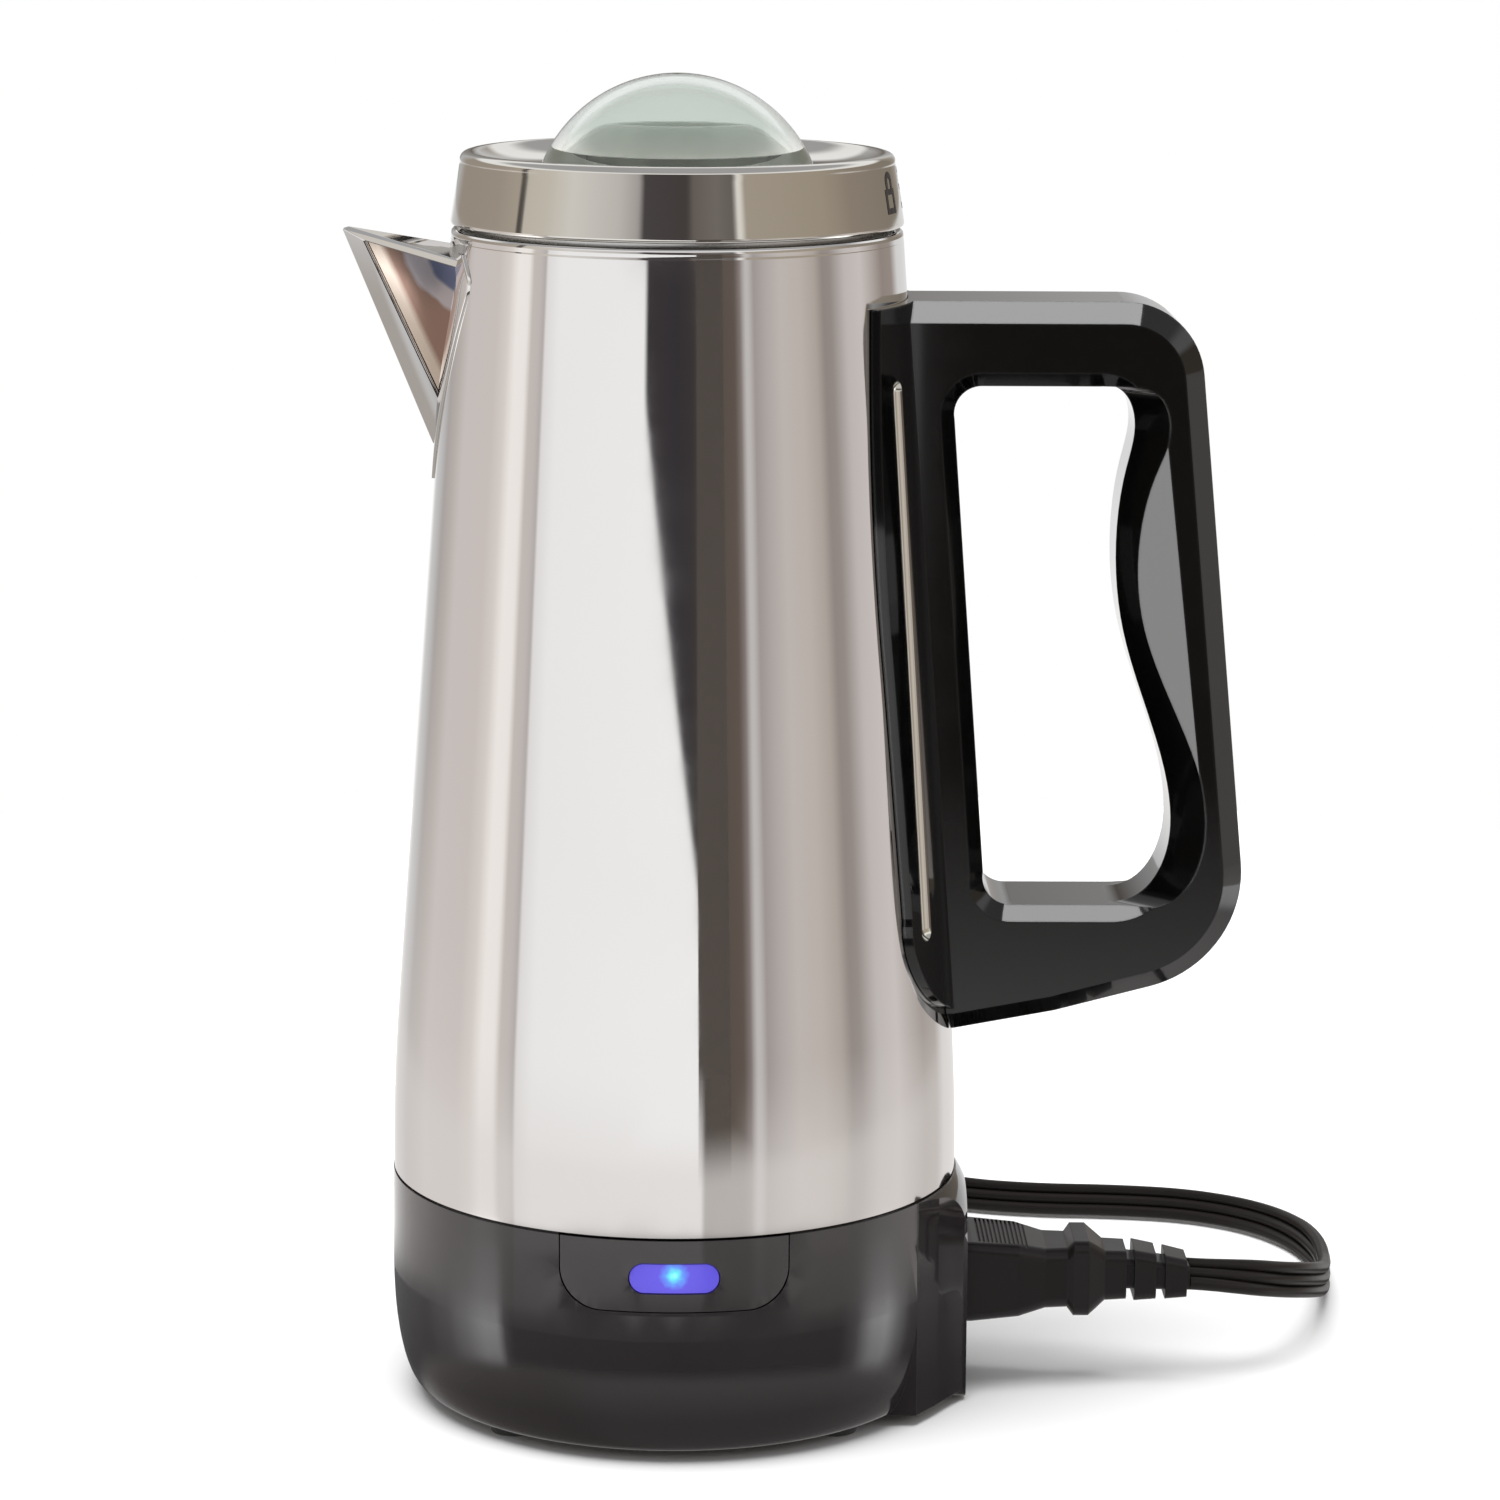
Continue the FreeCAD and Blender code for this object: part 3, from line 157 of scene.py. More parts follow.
# ---------------------------------------------------------------- materials
class Surface:
    """A Principled material with a few helpers for its procedural detail."""

    def __init__(self, name, colour, rough, metal=0.0, **values):
        self.material = bpy.data.materials.new(name)
        self.material.use_nodes = True
        self.tree = self.material.node_tree
        self.shader = self.tree.nodes["Principled BSDF"]
        self.colour = (*colour, 1.0)
        self.rough = rough
        self.set("Base Color", self.colour)
        self.set("Roughness", rough)
        self.set("Metallic", metal)
        for key, value in values.items():
            self.set(key.replace("_", " "), value)
        self.coords = self.tree.nodes.new("ShaderNodeTexCoord").outputs["Object"]

    def set(self, socket, value):
        self.shader.inputs[socket].default_value = value

    def node(self, kind, inputs=None, **settings):
        made = self.tree.nodes.new("ShaderNode" + kind)
        for key, value in settings.items():
            setattr(made, key, value)
        for key, value in (inputs or {}).items():
            if isinstance(value, bpy.types.NodeSocket):
                self.tree.links.new(value, made.inputs[key])
            else:
                made.inputs[key].default_value = value
        return made

    def join(self, output, socket):
        self.tree.links.new(output, self.shader.inputs[socket])

    def place(self, axis):
        """One object coordinate, in metres."""
        return self.node("SeparateXYZ", {0: self.coords}).outputs[axis]

    def stretched(self, scale):
        """Object coordinates scaled per axis, for grain."""
        return self.node("Mapping", {"Vector": self.coords, "Scale": scale}).outputs["Vector"]

    def noise(self, scale, detail=3.0, vector=None):
        return self.node("TexNoise", {"Vector": vector or self.coords, "Scale": scale,
                                      "Detail": detail}).outputs["Fac"]

    def spread(self, factor, low, high, from_low=0.3, from_high=0.7):
        """Runs from low to high while the factor goes from from_low to from_high."""
        return self.node("MapRange", {"Value": factor, "From Min": from_low, "From Max": from_high,
                                      "To Min": low, "To Max": high}).outputs["Result"]

    def mix(self, factor, first, second):
        """A colour between two, by a factor. Each is a colour or another node's output."""
        mixed = self.node("Mix", {"Factor": factor}, data_type="RGBA")
        ends = [socket for socket in mixed.inputs if socket.type == "RGBA"]
        for socket, colour in zip(ends, (first, second)):
            if isinstance(colour, bpy.types.NodeSocket):
                self.tree.links.new(colour, socket)
            else:
                socket.default_value = (*colour, 1.0)
        return [socket for socket in mixed.outputs if socket.type == "RGBA"][0]

    def blend(self, factor, first, second):
        """Base colour between two, by a factor."""
        self.join(self.mix(factor, first, second), "Base Color")

    def mottle(self, factor, amount):
        """Base colour that drifts a little darker and lighter."""
        self.blend(factor, [c * (1 - amount) for c in self.colour[:3]],
                   [min(1.0, c * (1 + amount)) for c in self.colour[:3]])

    def rough_drift(self, factor, amount):
        """Roughness that drifts a little either way."""
        self.join(self.spread(factor, max(0.01, self.rough - amount), self.rough + amount), "Roughness")

    def bump(self, height, strength, distance, edge_mm=0.0):
        """Fine relief, on edges that look rounded to a radius."""
        made = self.node("Bump", {"Height": height, "Strength": strength, "Distance": distance})
        if edge_mm:
            edge = self.node("Bevel", {"Radius": edge_mm * MM}, samples=6)
            self.tree.links.new(edge.outputs["Normal"], made.inputs["Normal"])
        self.join(made.outputs["Normal"], "Normal")


TURNED_GRAIN = (60.0, 60.0, 5200.0)     # scale of fine lines that run round the pot's axis


def steel(name, colour, rough, grain=0.0):
    """Metal: polished and faintly wavy, or with a turned grain of some strength."""
    s = Surface(name, colour, rough, 1.0)
    s.mottle(s.noise(18.0, 2.0), 0.02)
    s.rough_drift(s.noise(60.0, 4.0), 0.02)
    if grain:
        s.bump(s.noise(1.0, 2.0, s.stretched(TURNED_GRAIN)), grain, 0.00002)
    else:
        waves(s)
    return s.material


def waves(surface):
    """The faint unevenness of polished sheet."""
    surface.bump(surface.noise(9.0, 1.0), 0.04, 0.0004)


def plastic(name, colour, rough, grain_scale=1400.0, grain=0.12, coat=0.0, coat_ior=1.5, edge_mm=0.0,
            shine=0.5, coat_heights=None):
    """Moulded plastic or rubber. Its clear coat can fade in between two heights in metres."""
    s = Surface(name, colour, rough, 0.0, Specular_IOR_Level=shine, Coat_Weight=coat,
                Coat_Roughness=0.04, Coat_IOR=coat_ior)
    if coat_heights:
        s.join(s.spread(s.place("Z"), 0.0, coat, *coat_heights), "Coat Weight")
    s.mottle(s.noise(30.0, 4.0), 0.10)
    s.rough_drift(s.noise(90.0, 5.0), 0.03)
    s.bump(s.noise(grain_scale, 2.0), grain, 0.00004, edge_mm)
    return s.material


def glass(name, colour, foot_colour=None, foot_heights=()):
    """Clear glass. A foot of another tint can blend into it between two heights in metres."""
    s = Surface(name, colour, 0.0, 0.0, Transmission_Weight=1.0, IOR=1.5)
    if foot_colour:
        s.blend(s.spread(s.place("Z"), 0, 1, *foot_heights), foot_colour, colour)
    s.bump(s.noise(55.0, 2.0), 0.05, 0.0002)
    return s.material


def pale_glass(name):
    """Pressed glass whose uneven skin scatters some light."""
    s = Surface(name, (0.93, 0.98, 0.90), 0.06, 0.0, Transmission_Weight=0.40, IOR=1.5)
    s.mottle(s.noise(260.0, 3.0), 0.05)
    s.bump(s.noise(160.0, 3.0), 0.25, 0.0004)
    return s.material


LAMP_REACH = 0.0125         # metres from the lamp to where the window is plain blue
LAMP_RISE = 0.62            # height of the lamp as a share of the window's
LAMP_TINTS = [              # the glow, by the share of that reach
    (0.0, (0.22, 0.80, 0.95)), (0.08, (0.09, 0.55, 0.85)), (0.17, (0.08, 0.22, 0.68)),
    (0.30, (0.080, 0.060, 0.52)), (1.0, (0.065, 0.048, 0.45))]
LENS_GRAIN = 0.0003         # how far the glow's bounds wander, in metres


def fill_ramp(ramp, stops):
    """Gives a colour ramp its stops, each a position from 0 to 1 and an RGBA colour."""
    elements = ramp.color_ramp.elements
    while len(elements) < len(stops):
        elements.new(0.5)
    for element, (position, colour) in zip(elements, stops):
        element.position = position
        element.color = colour


def lit_lens(name):
    """Deep blue window, lit from behind by a small cyan lamp a little over its middle."""
    s = Surface(name, (0.035, 0.03, 0.42), 0.18, 0.0, Coat_Weight=0.6, Coat_Roughness=0.05)
    low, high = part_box("indicator_lens")
    centre = Vector(((low.x + high.x) / 2, low.y, low.z + (high.z - low.z) * LAMP_RISE))
    away = s.node("VectorMath", {0: s.coords, 1: centre}, operation="DISTANCE").outputs["Value"]
    wobble = s.spread(s.noise(700.0, 2.0), -LENS_GRAIN, LENS_GRAIN)
    reach = s.node("Math", {0: away, 1: wobble}, operation="ADD").outputs["Value"]
    ramp = s.node("ValToRGB")
    s.tree.links.new(s.spread(reach, 0.0, 1.0, 0.0, LAMP_REACH), ramp.inputs["Fac"])
    fill_ramp(ramp, [(share, (*colour, 1.0)) for share, colour in LAMP_TINTS])
    s.join(ramp.outputs["Color"], "Emission Color")
    s.join(ramp.outputs["Color"], "Base Color")
    s.set("Emission Strength", 0.50)
    return s.material


def woven(name, colour):
    """The fabric of the cord's strap."""
    s = Surface(name, colour, 0.9, 0.0, Sheen_Weight=0.3)
    wave = s.node("TexWave", {"Vector": s.coords, "Scale": 900.0, "Distortion": 1.0}).outputs["Fac"]
    s.mottle(s.noise(400.0, 3.0), 0.3)
    s.bump(wave, 0.5, 0.0002)
    return s.material


PANEL_CORNER = (-0.0510, 0.2930)        # (x, z) that the painted reflections on the spout's panel surround
PANEL_PAINTED_REFLECTIONS = [                         # each a painted reflection colour, with the distances from there that it sets in between
    ((0.24, 0.27, 0.42), 0.0034, 0.0040), ((0.74, 0.68, 0.72), 0.0098, 0.0108),
    ((0.46, 0.30, 0.245), 0.0150, 0.0162)]
PANEL_NOSE = (-0.077, 0.294)            # (x, z) of its corner at the nose
NOSE_SLANT = (0.905, 0.425)             # direction across the painted pale reflection strip that starts there
NOSE_STRIP = (0.0030, 0.0046)           # its width, from full to none
# the nose strip's colour is a painted reflection and the corner's a painted highlight
STRIP_PAINTED_REFLECTION = (0.88, 0.76, 0.66)
CORNER_PAINTED_HIGHLIGHT = (0.95, 0.95, 0.97)
REFLECTION_WANDER = 0.0012                    # how far the painted reflections' bounds wander, in metres


def painted_reflection_steel(name):
    """Polished steel with a room's reflection painted into its colour: blue, lilac and brown round the
    upper corner, a painted white highlight at that corner and a painted pale strip along the nose.
    """
    s = Surface(name, (0.5, 0.45, 0.42), 0.10, 1.0)

    def calc(operation, *values):
        return s.node("Math", dict(enumerate(values)), operation=operation).outputs["Value"]

    def past(point):
        """Distances in x and z from a point."""
        return [calc("SUBTRACT", s.place(axis), value) for axis, value in zip("XZ", point)]
    away = calc("SQRT", calc("ADD", *[calc("POWER", part, 2.0) for part in past(PANEL_CORNER)]))
    away = calc("ADD", away, s.spread(s.noise(90.0, 2.0), -REFLECTION_WANDER, REFLECTION_WANDER))
    from_nose = calc("ADD", *[calc("MULTIPLY", part, share)
                              for part, share in zip(past(PANEL_NOSE), NOSE_SLANT)])
    colour = CORNER_PAINTED_HIGHLIGHT
    for painted_reflection, low, high in PANEL_PAINTED_REFLECTIONS:
        colour = s.mix(s.spread(away, 0, 1, low, high), colour, painted_reflection)
    colour = s.mix(s.spread(from_nose, 1, 0, *NOSE_STRIP), colour, STRIP_PAINTED_REFLECTION)
    s.join(colour, "Base Color")
    waves(s)
    return s.material


MATERIALS = {
    "polished_steel": steel("polished_steel", (0.80, 0.785, 0.775), 0.045),
    "lid_steel": steel("lid_steel", (0.76, 0.74, 0.70), 0.05, grain=0.05),
    # the spout's panels, with a room's reflection painted into their colour
    "spout_panel": painted_reflection_steel("spout_panel"),
    "spout_inside": steel("spout_inside", (0.70, 0.69, 0.67), 0.32),
    # painted shadow: dark colour for the shade along the pressed panels' edges
    "crease_shadow": steel("crease_shadow", (0.05, 0.045, 0.045), 0.5),
    "mark_ink": plastic("mark_ink", (0.035, 0.028, 0.025), 0.5),
    "inner_steel": steel("inner_steel", (0.70, 0.70, 0.69), 0.28, grain=0.2),
    "base_plastic": plastic("base_plastic", (0.020, 0.017, 0.018), 0.10, 900.0, 0.01, coat=1.0,
                            coat_ior=1.6, edge_mm=0.4, shine=0.2, coat_heights=(0.012, 0.032)),
    "handle_plastic": plastic("handle_plastic", (0.002, 0.002, 0.002), 0.10, 500.0, 0.02, coat=0.85,
                              edge_mm=0.9, shine=0.2),
    # painted reflection: pale mirror steel in the black handle's hollows, so that they show a bright strip
    "handle_hollow_painted_shine": steel("handle_hollow_painted_shine", (0.80, 0.78, 0.70), 0.10),
    "lens_blue": lit_lens("lens_blue"),
    "lamp_glass": glass("lamp_glass", (0.8, 0.95, 1.0)),
    "nylon": plastic("nylon", (0.33, 0.35, 0.32), 0.45),
    "foot_rubber": plastic("foot_rubber", (0.02, 0.02, 0.02), 0.7),
    "zinc_steel": steel("zinc_steel", (0.62, 0.62, 0.63), 0.35, grain=0.2),
    "cast_aluminium": steel("cast_aluminium", (0.66, 0.67, 0.68), 0.5),
    "element_sheath": steel("element_sheath", (0.25, 0.23, 0.22), 0.5),
    "thermostat_case": plastic("thermostat_case", (0.07, 0.035, 0.02), 0.35),
    "mica": plastic("mica", (0.50, 0.42, 0.30), 0.5),
    "fuse_sleeve": plastic("fuse_sleeve", (0.80, 0.78, 0.72), 0.8),
    "inlet_plastic": plastic("inlet_plastic", (0.010, 0.009, 0.009), 0.16, 900.0, 0.03, coat=0.8,
                             coat_ior=1.6, edge_mm=0.4),
    "brass": steel("brass", (0.80, 0.72, 0.52), 0.2),
    "wire_insulation": plastic("wire_insulation", (0.55, 0.52, 0.45), 0.5),
    "silicone": plastic("silicone", (0.70, 0.70, 0.68), 0.5),
    "knob_glass": glass("knob_glass", (0.78, 0.825, 0.79), (1.0, 1.0, 0.97), (0.3165, 0.3215)),
    "throat_glass": pale_glass("throat_glass"),
    "lead_rubber": plastic("lead_rubber", (0.011, 0.009, 0.009), 0.30, 900.0, 0.10, edge_mm=0.5,
                           shine=0.30),
    "cord_jacket": plastic("cord_jacket", (0.012, 0.010, 0.009), 0.36, 700.0, 0.06, shine=0.22),
    "strap": woven("strap", (0.02, 0.02, 0.02)),
}


def dress_cad_nodes():
    """Every CAD node that stays in view gets its slot's material."""
    for row in frame["record"]["subparts"]:
        mesh = NODES[row["node"]].data
        mesh.materials.clear()
        mesh.materials.append(MATERIALS[row["material_slot"]])


# ---------------------------------------------------------------- stage
FLOOR_RADIUS = 0.75
FLOOR_WHITE = (0.90, 0.90, 0.90)
GAP_BLACK = (0.052, 0.045, 0.040)
GAP_GLOW = 1.0
GAP_PLACE = (0.150, -0.55, 0.140)       # of the dark card's middle
GAP_HALF_WIDTH = 0.064
GAP_HALF_HEIGHT = 0.210
GAP_FADE = (-0.19, -0.09)               # heights over its middle between which it fades in


def stage_card(name, place, half_width, half_depth, corners, colour, glow=0.0):
    """A flat stage piece, round if it has many corners and square if it has four."""
    mesh = bpy.data.meshes.new(name)
    reach = 1 / math.cos(math.pi / corners)
    points = []
    for i in range(corners):
        a = 2 * math.pi * (i + 0.5) / corners
        points.append((half_width * reach * math.cos(a), half_depth * reach * math.sin(a), 0))
    mesh.from_pydata(points, [], [tuple(range(corners))])
    card = link(name, mesh)
    card.location = place
    s = Surface(name, colour, 0.55, 0.0, Specular_IOR_Level=0.0, Emission_Strength=glow)
    s.set("Emission Color", (*colour, 1.0))
    s.mottle(s.noise(4.0, 2.0), 0.005)
    mesh.materials.append(s.material)
    return card, s


def make_floor():
    """A round white table, which the polished steel doesn't mirror."""
    floor, _ = stage_card("floor", (0, 0, 0), FLOOR_RADIUS, FLOOR_RADIUS, 128, FLOOR_WHITE)
    floor.visible_glossy = False


def make_front_gap():
    """A dark card, seen only in reflections, that blackens the handle's flat side."""
    gap, surface = stage_card("front_gap", GAP_PLACE, GAP_HALF_WIDTH, GAP_HALF_HEIGHT, 4,
                              GAP_BLACK, GAP_GLOW)
    gap.rotation_euler = (math.pi / 2, 0, 0)
    surface.join(surface.spread(surface.place("Y"), 0.0, 1.0, *GAP_FADE), "Alpha")
    for kind in ("camera", "diffuse", "transmission", "shadow"):
        setattr(gap, "visible_" + kind, False)


def compass(degrees):
    """Place on a studio ramp of a direction in degrees from the camera's side."""
    return (degrees + 180.0) / 360.0


def tone(red, green=None, blue=None):
    return (red, red if green is None else green, red if blue is None else blue, 1.0)


# What the steel sees, by compass direction. The ramps are for level directions on the
# left, level directions on the right, and directions above.
LEFT_TONES = [
    (-180, tone(1.0)), (-170, tone(0.95)), (-160, tone(0.64)), (-150, tone(0.56)),
    (-143, tone(0.47, 0.436, 0.423)), (-133, tone(0.556, 0.512, 0.485)), (-123, tone(0.69, 0.64, 0.618)),
    (-100, tone(0.70, 0.645, 0.62)), (-92, tone(0.80, 0.745, 0.71)), (-86, tone(1.03, 0.99, 0.96)),
    (-79, tone(1.02, 0.98, 0.95)), (-76, tone(0.66, 0.61, 0.58)), (-71, tone(0.62, 0.58, 0.56)),
    (-69, tone(0.52, 0.48, 0.47)), (-67.5, tone(0.88, 0.87, 0.87)), (-60, tone(1.0)), (25, tone(1.05))]
RIGHT_TONES = [
    (-20, tone(0.050, 0.043, 0.046)), (0, tone(0.042, 0.038, 0.043)), (8, tone(0.05, 0.044, 0.045)),
    (11, tone(0.10, 0.086, 0.074)), (28, tone(0.135, 0.108, 0.09)), (31, tone(0.26, 0.22, 0.21)),
    (33.5, tone(0.62, 0.60, 0.59)), (35.5, tone(0.60, 0.58, 0.57)), (38, tone(0.42, 0.38, 0.365)),
    (44, tone(0.52, 0.48, 0.465)), (52, tone(0.62, 0.57, 0.54)),
    (63, tone(0.60, 0.545, 0.51)), (72, tone(0.50, 0.45, 0.41)), (77, tone(0.34, 0.30, 0.28)),
    (82, tone(0.36, 0.32, 0.30)), (92, tone(0.62, 0.58, 0.56)), (104, tone(0.69, 0.64, 0.62)),
    (124, tone(0.34, 0.29, 0.26)), (136, tone(0.36, 0.31, 0.28)), (145, tone(0.74)), (170, tone(0.78)),
    (180, tone(1.0))]
ABOVE_TONES = [
    (-180, tone(0.16, 0.14, 0.125)), (-163, tone(0.50)), (-148, tone(0.36, 0.315, 0.27)),
    (-105, tone(0.40, 0.35, 0.30)), (-90, tone(0.46, 0.41, 0.35)), (-88.5, tone(0.09, 0.08, 0.075)),
    (-86, tone(0.10, 0.09, 0.085)), (-84.5, tone(0.62, 0.58, 0.52)), (-70, tone(0.66, 0.62, 0.56)),
    (-56, tone(0.76, 0.74, 0.71)), (-44, tone(0.70, 0.68, 0.66)), (-30, tone(0.62, 0.60, 0.58)),
    (-20, tone(0.45, 0.43, 0.42)), (-17, tone(0.08, 0.07, 0.075)), (5, tone(0.07, 0.06, 0.06)),
    (8, tone(0.16, 0.14, 0.13)), (20, tone(0.20, 0.18, 0.17)), (29, tone(0.16, 0.145, 0.135)),
    (30.5, tone(0.85, 0.83, 0.80)), (33, tone(0.85, 0.82, 0.79)), (34.5, tone(0.44, 0.39, 0.33)),
    (80, tone(0.40, 0.35, 0.28)), (100, tone(0.31, 0.265, 0.22)), (150, tone(0.25, 0.22, 0.18)),
    (162, tone(0.36, 0.32, 0.28)), (172, tone(0.60)), (180, tone(0.16, 0.14, 0.125))]
BASE_TONES = [
    (-180, tone(0.10)), (-150, tone(0.14)), (-122, tone(0.20)), (-106, tone(0.45)), (-94, tone(1.1)),
    (-84, tone(2.0)), (-77, tone(2.1)), (-73, tone(0.35)), (-69, tone(0.12)), (0, tone(0.08)),
    (72, tone(0.12)), (80, tone(0.45)), (89, tone(1.9)), (97, tone(2.0)), (105, tone(0.8)),
    (113, tone(0.18)), (122, tone(0.08)), (180, tone(0.08))]


# Heights of a direction (the sine of its elevation) between which the studio changes
ABOVE_FROM = (0.0495, 0.0535)
RING_FROM = (0.32, 0.42)
ZENITH_FROM = (0.52, 0.66)
# Depths, which are heights turned over
TABLE_FROM = (0.11, 0.28)               # at the sides
FRONT_TABLE_FROM = (0.17, 0.235)
BASE_FROM = (0.283, 0.297)
GROUND_FROM = (0.41, 0.50)
PATCH_FROM = (0.39, 0.48)
RING_TONE = tone(0.95)
ZENITH_TONE = tone(0.42, 0.42, 0.43)
TABLE_TONE = tone(0.86, 0.83, 0.81)
TABLE_SHARE = 0.62
GROUND_TONE = tone(0.62, 0.60, 0.59)
PATCH_TONE = tone(0.46, 0.43, 0.40)
GAP_EDGE_HEIGHT, GAP_EDGE_SLANT = 0.042, -4.4    # of the left edge of the dark gap in front
GAP_EDGE_LEAST, GAP_EDGE_MOST = -0.27, 0.19      # radians


class Sky:
    """The studio's node tree, with a direction's height, depth and compass angle."""

    def __init__(self, tree):
        self.tree = tree
        tree.nodes.clear()
        coords = self.add("TexCoord").outputs["Generated"]
        x, y, self.height = self.add("SeparateXYZ", [coords]).outputs
        self.depth = self.calc("MULTIPLY", self.height, -1.0)
        # In radians, 0 towards the camera and positive towards +X
        self.angle = self.calc("ARCTAN2", x, self.calc("MULTIPLY", y, -1.0))
        self.place = self.calc("ADD", self.calc("DIVIDE", self.angle, 2 * math.pi), 0.5)

    def add(self, kind, inputs=(), **settings):
        made = self.tree.nodes.new("ShaderNode" + kind)
        for key, value in settings.items():
            setattr(made, key, value)
        for socket, value in zip(made.inputs, inputs):
            self.give(socket, value)
        return made

    def give(self, socket, value):
        if isinstance(value, bpy.types.NodeSocket):
            self.tree.links.new(value, socket)
        else:
            socket.default_value = value

    def calc(self, operation, *values):
        return self.add("Math", values, operation=operation).outputs[0]

    def ramp(self, tones):
        made = self.add("ValToRGB", [self.place])
        fill_ramp(made, [(compass(degrees), colour) for degrees, colour in tones])
        return made.outputs["Color"]

    def between(self, value, low, high):
        """0 below low, 1 above high."""
        return self.add("MapRange", [value, low, high], interpolation_type="SMOOTHSTEP").outputs["Result"]

    def mixed(self, factor, first, second):
        made = self.add("Mix", data_type="RGBA")
        self.give(made.inputs["Factor"], factor)
        for socket, value in zip([s for s in made.inputs if s.type == "RGBA"], (first, second)):
            self.give(socket, value)
        return [s for s in made.outputs if s.type == "RGBA"][0]


def look_up(sky):
    """The studio from eye level to the zenith."""
    # The dark gap in front has a slanted left edge
    edge = sky.calc("MULTIPLY", sky.calc("ADD", sky.height, GAP_EDGE_HEIGHT), GAP_EDGE_SLANT)
    edge = sky.calc("MAXIMUM", sky.calc("MINIMUM", edge, GAP_EDGE_MOST), GAP_EDGE_LEAST)
    right_side = sky.between(sky.calc("SUBTRACT", sky.angle, edge), -0.015, 0.03)
    level = sky.mixed(right_side, sky.ramp(LEFT_TONES), sky.ramp(RIGHT_TONES))
    # Round the back the upper ramp starts lower
    turned = sky.calc("SUBTRACT", sky.calc("ABSOLUTE", sky.angle), math.radians(95))
    raised = sky.calc("MULTIPLY", sky.calc("MAXIMUM", turned, 0.0), 0.086)
    above = sky.between(sky.calc("ADD", sky.height, raised), *ABOVE_FROM)
    sides = sky.mixed(above, level, sky.ramp(ABOVE_TONES))
    ring = sky.mixed(sky.between(sky.height, *RING_FROM), sides, RING_TONE)
    return sky.mixed(sky.between(sky.height, *ZENITH_FROM), ring, ZENITH_TONE)


def look_down(sky, colour):
    """The same studio with what lies below eye level."""
    # A paler table, which starts lower in front
    off_front = sky.calc("ABSOLUTE", sky.calc("SUBTRACT", sky.angle, math.radians(8)))
    pale = sky.calc("MULTIPLY", sky.between(sky.depth, *TABLE_FROM), sky.between(off_front, 0.24, 0.50))
    pale = sky.calc("MAXIMUM", pale, sky.between(sky.depth, *FRONT_TABLE_FROM))
    colour = sky.mixed(sky.calc("MULTIPLY", pale, TABLE_SHARE), colour, TABLE_TONE)
    # What the black base mirrors, and the ground under that
    colour = sky.mixed(sky.between(sky.depth, *BASE_FROM), colour, sky.ramp(BASE_TONES))
    colour = sky.mixed(sky.between(sky.depth, *GROUND_FROM), colour, GROUND_TONE)
    # A grey patch for the spout, on its own side
    aside = sky.calc("MULTIPLY", sky.angle, -1.0)
    where = sky.calc("MULTIPLY", sky.between(aside, math.radians(30), math.radians(60)),
                     sky.between(aside, math.radians(150), math.radians(125)))
    where = sky.calc("MULTIPLY", where, sky.between(sky.depth, *PATCH_FROM))
    return sky.mixed(where, colour, PATCH_TONE)


def make_world():
    """A studio that lights the object and is mirrored in it. Seen directly or through glass it is white."""
    world = bpy.data.worlds.new("studio")
    bpy.context.scene.world = world
    world.use_nodes = True
    sky = Sky(world.node_tree)
    mirrored = sky.add("Background", [look_down(sky, look_up(sky))])
    plain = sky.add("Background", [(1, 1, 1, 1)])
    path = sky.add("LightPath").outputs
    direct = sky.calc("MAXIMUM", path["Is Camera Ray"], path["Is Transmission Ray"])
    shown = sky.add("MixShader", [direct, mirrored.outputs[0], plain.outputs[0]])
    sky.add("OutputWorld", [shown.outputs[0]])


SUN_STRENGTH = 3.4
SUN_WIDTH = 50.0                        # degrees that the soft sun spans
SUN_HEADING = (0.10, 0.16, -1.0)
GRIP = (0.120, -0.014, 0.205)           # the handle's slanted facet
GRIP_LIGHT_PLACE = (-0.076, -0.403, 0.105)
GRIP_LIGHT_POWER = 0.48
GRIP_LIGHT_SIZE = 0.20


def add_light(name, kind, energy, place, heading, glossy_on=None):
    """A light for matt surfaces, or one that is seen only in what a collection mirrors."""
    data = bpy.data.lights.new(name, kind)
    data.energy = energy
    light = bpy.data.objects.new(name, data)
    bpy.context.scene.collection.objects.link(light)
    light.location = place
    light.rotation_euler = Vector(heading).to_track_quat("-Z", "Y").to_euler()
    light.visible_glossy = glossy_on is not None
    light.visible_diffuse = glossy_on is None
    light.visible_camera = False
    light.visible_transmission = False
    if glossy_on:
        light.light_linking.receiver_collection = glossy_on
    return data


def make_lights():
    """One large soft source overhead, and two that only the black handle mirrors."""
    handle_only = bpy.data.collections.new("shiny_handle")
    handle_only.objects.link(bpy.data.objects["handle_moulding"])
    for name, seen_on in (("overhead", None), ("overhead_shine", handle_only)):
        sun = add_light(name, "SUN", SUN_STRENGTH, (0, 0, 0), SUN_HEADING, seen_on)
        sun.angle = math.radians(SUN_WIDTH)
    panel = add_light("grip_shine", "AREA", GRIP_LIGHT_POWER, GRIP_LIGHT_PLACE,
                      Vector(GRIP) - Vector(GRIP_LIGHT_PLACE), handle_only)
    panel.size = GRIP_LIGHT_SIZE


# ---------------------------------------------------------------- cord
CORD_WIDTH = 9.4 * MM
CORD_THICK = 3.6 * MM
CORD_LIE = 4.8              # height of the centreline where the cord lies on edge
COIL_CENTRE = (20.0, 134.0)
COIL_R_OUT = 50.2           # centreline of the outer turn
COIL_R_IN = 46.4            # centreline of the inner turn
COIL_FROM = 52.8            # degrees, where the coil starts
COIL_TO = 788.0             # and where it has risen over its own turns
COIL_STEP_IN = (360.0, 405.0)           # degrees between which the outer turn becomes the inner
COIL_CLIMB = (690.0, 768.0)             # degrees between which its end rises
POINTS_PER_TURN = 16
CORD_OVER = 14.2            # height of the centreline over the turns
LEAST_STEP = 0.0004         # metres between two points of the line
CORD_TILT = 36              # degrees, at the connector
CORD_LEAN = 36              # degrees from upright, in the stretch behind the pot

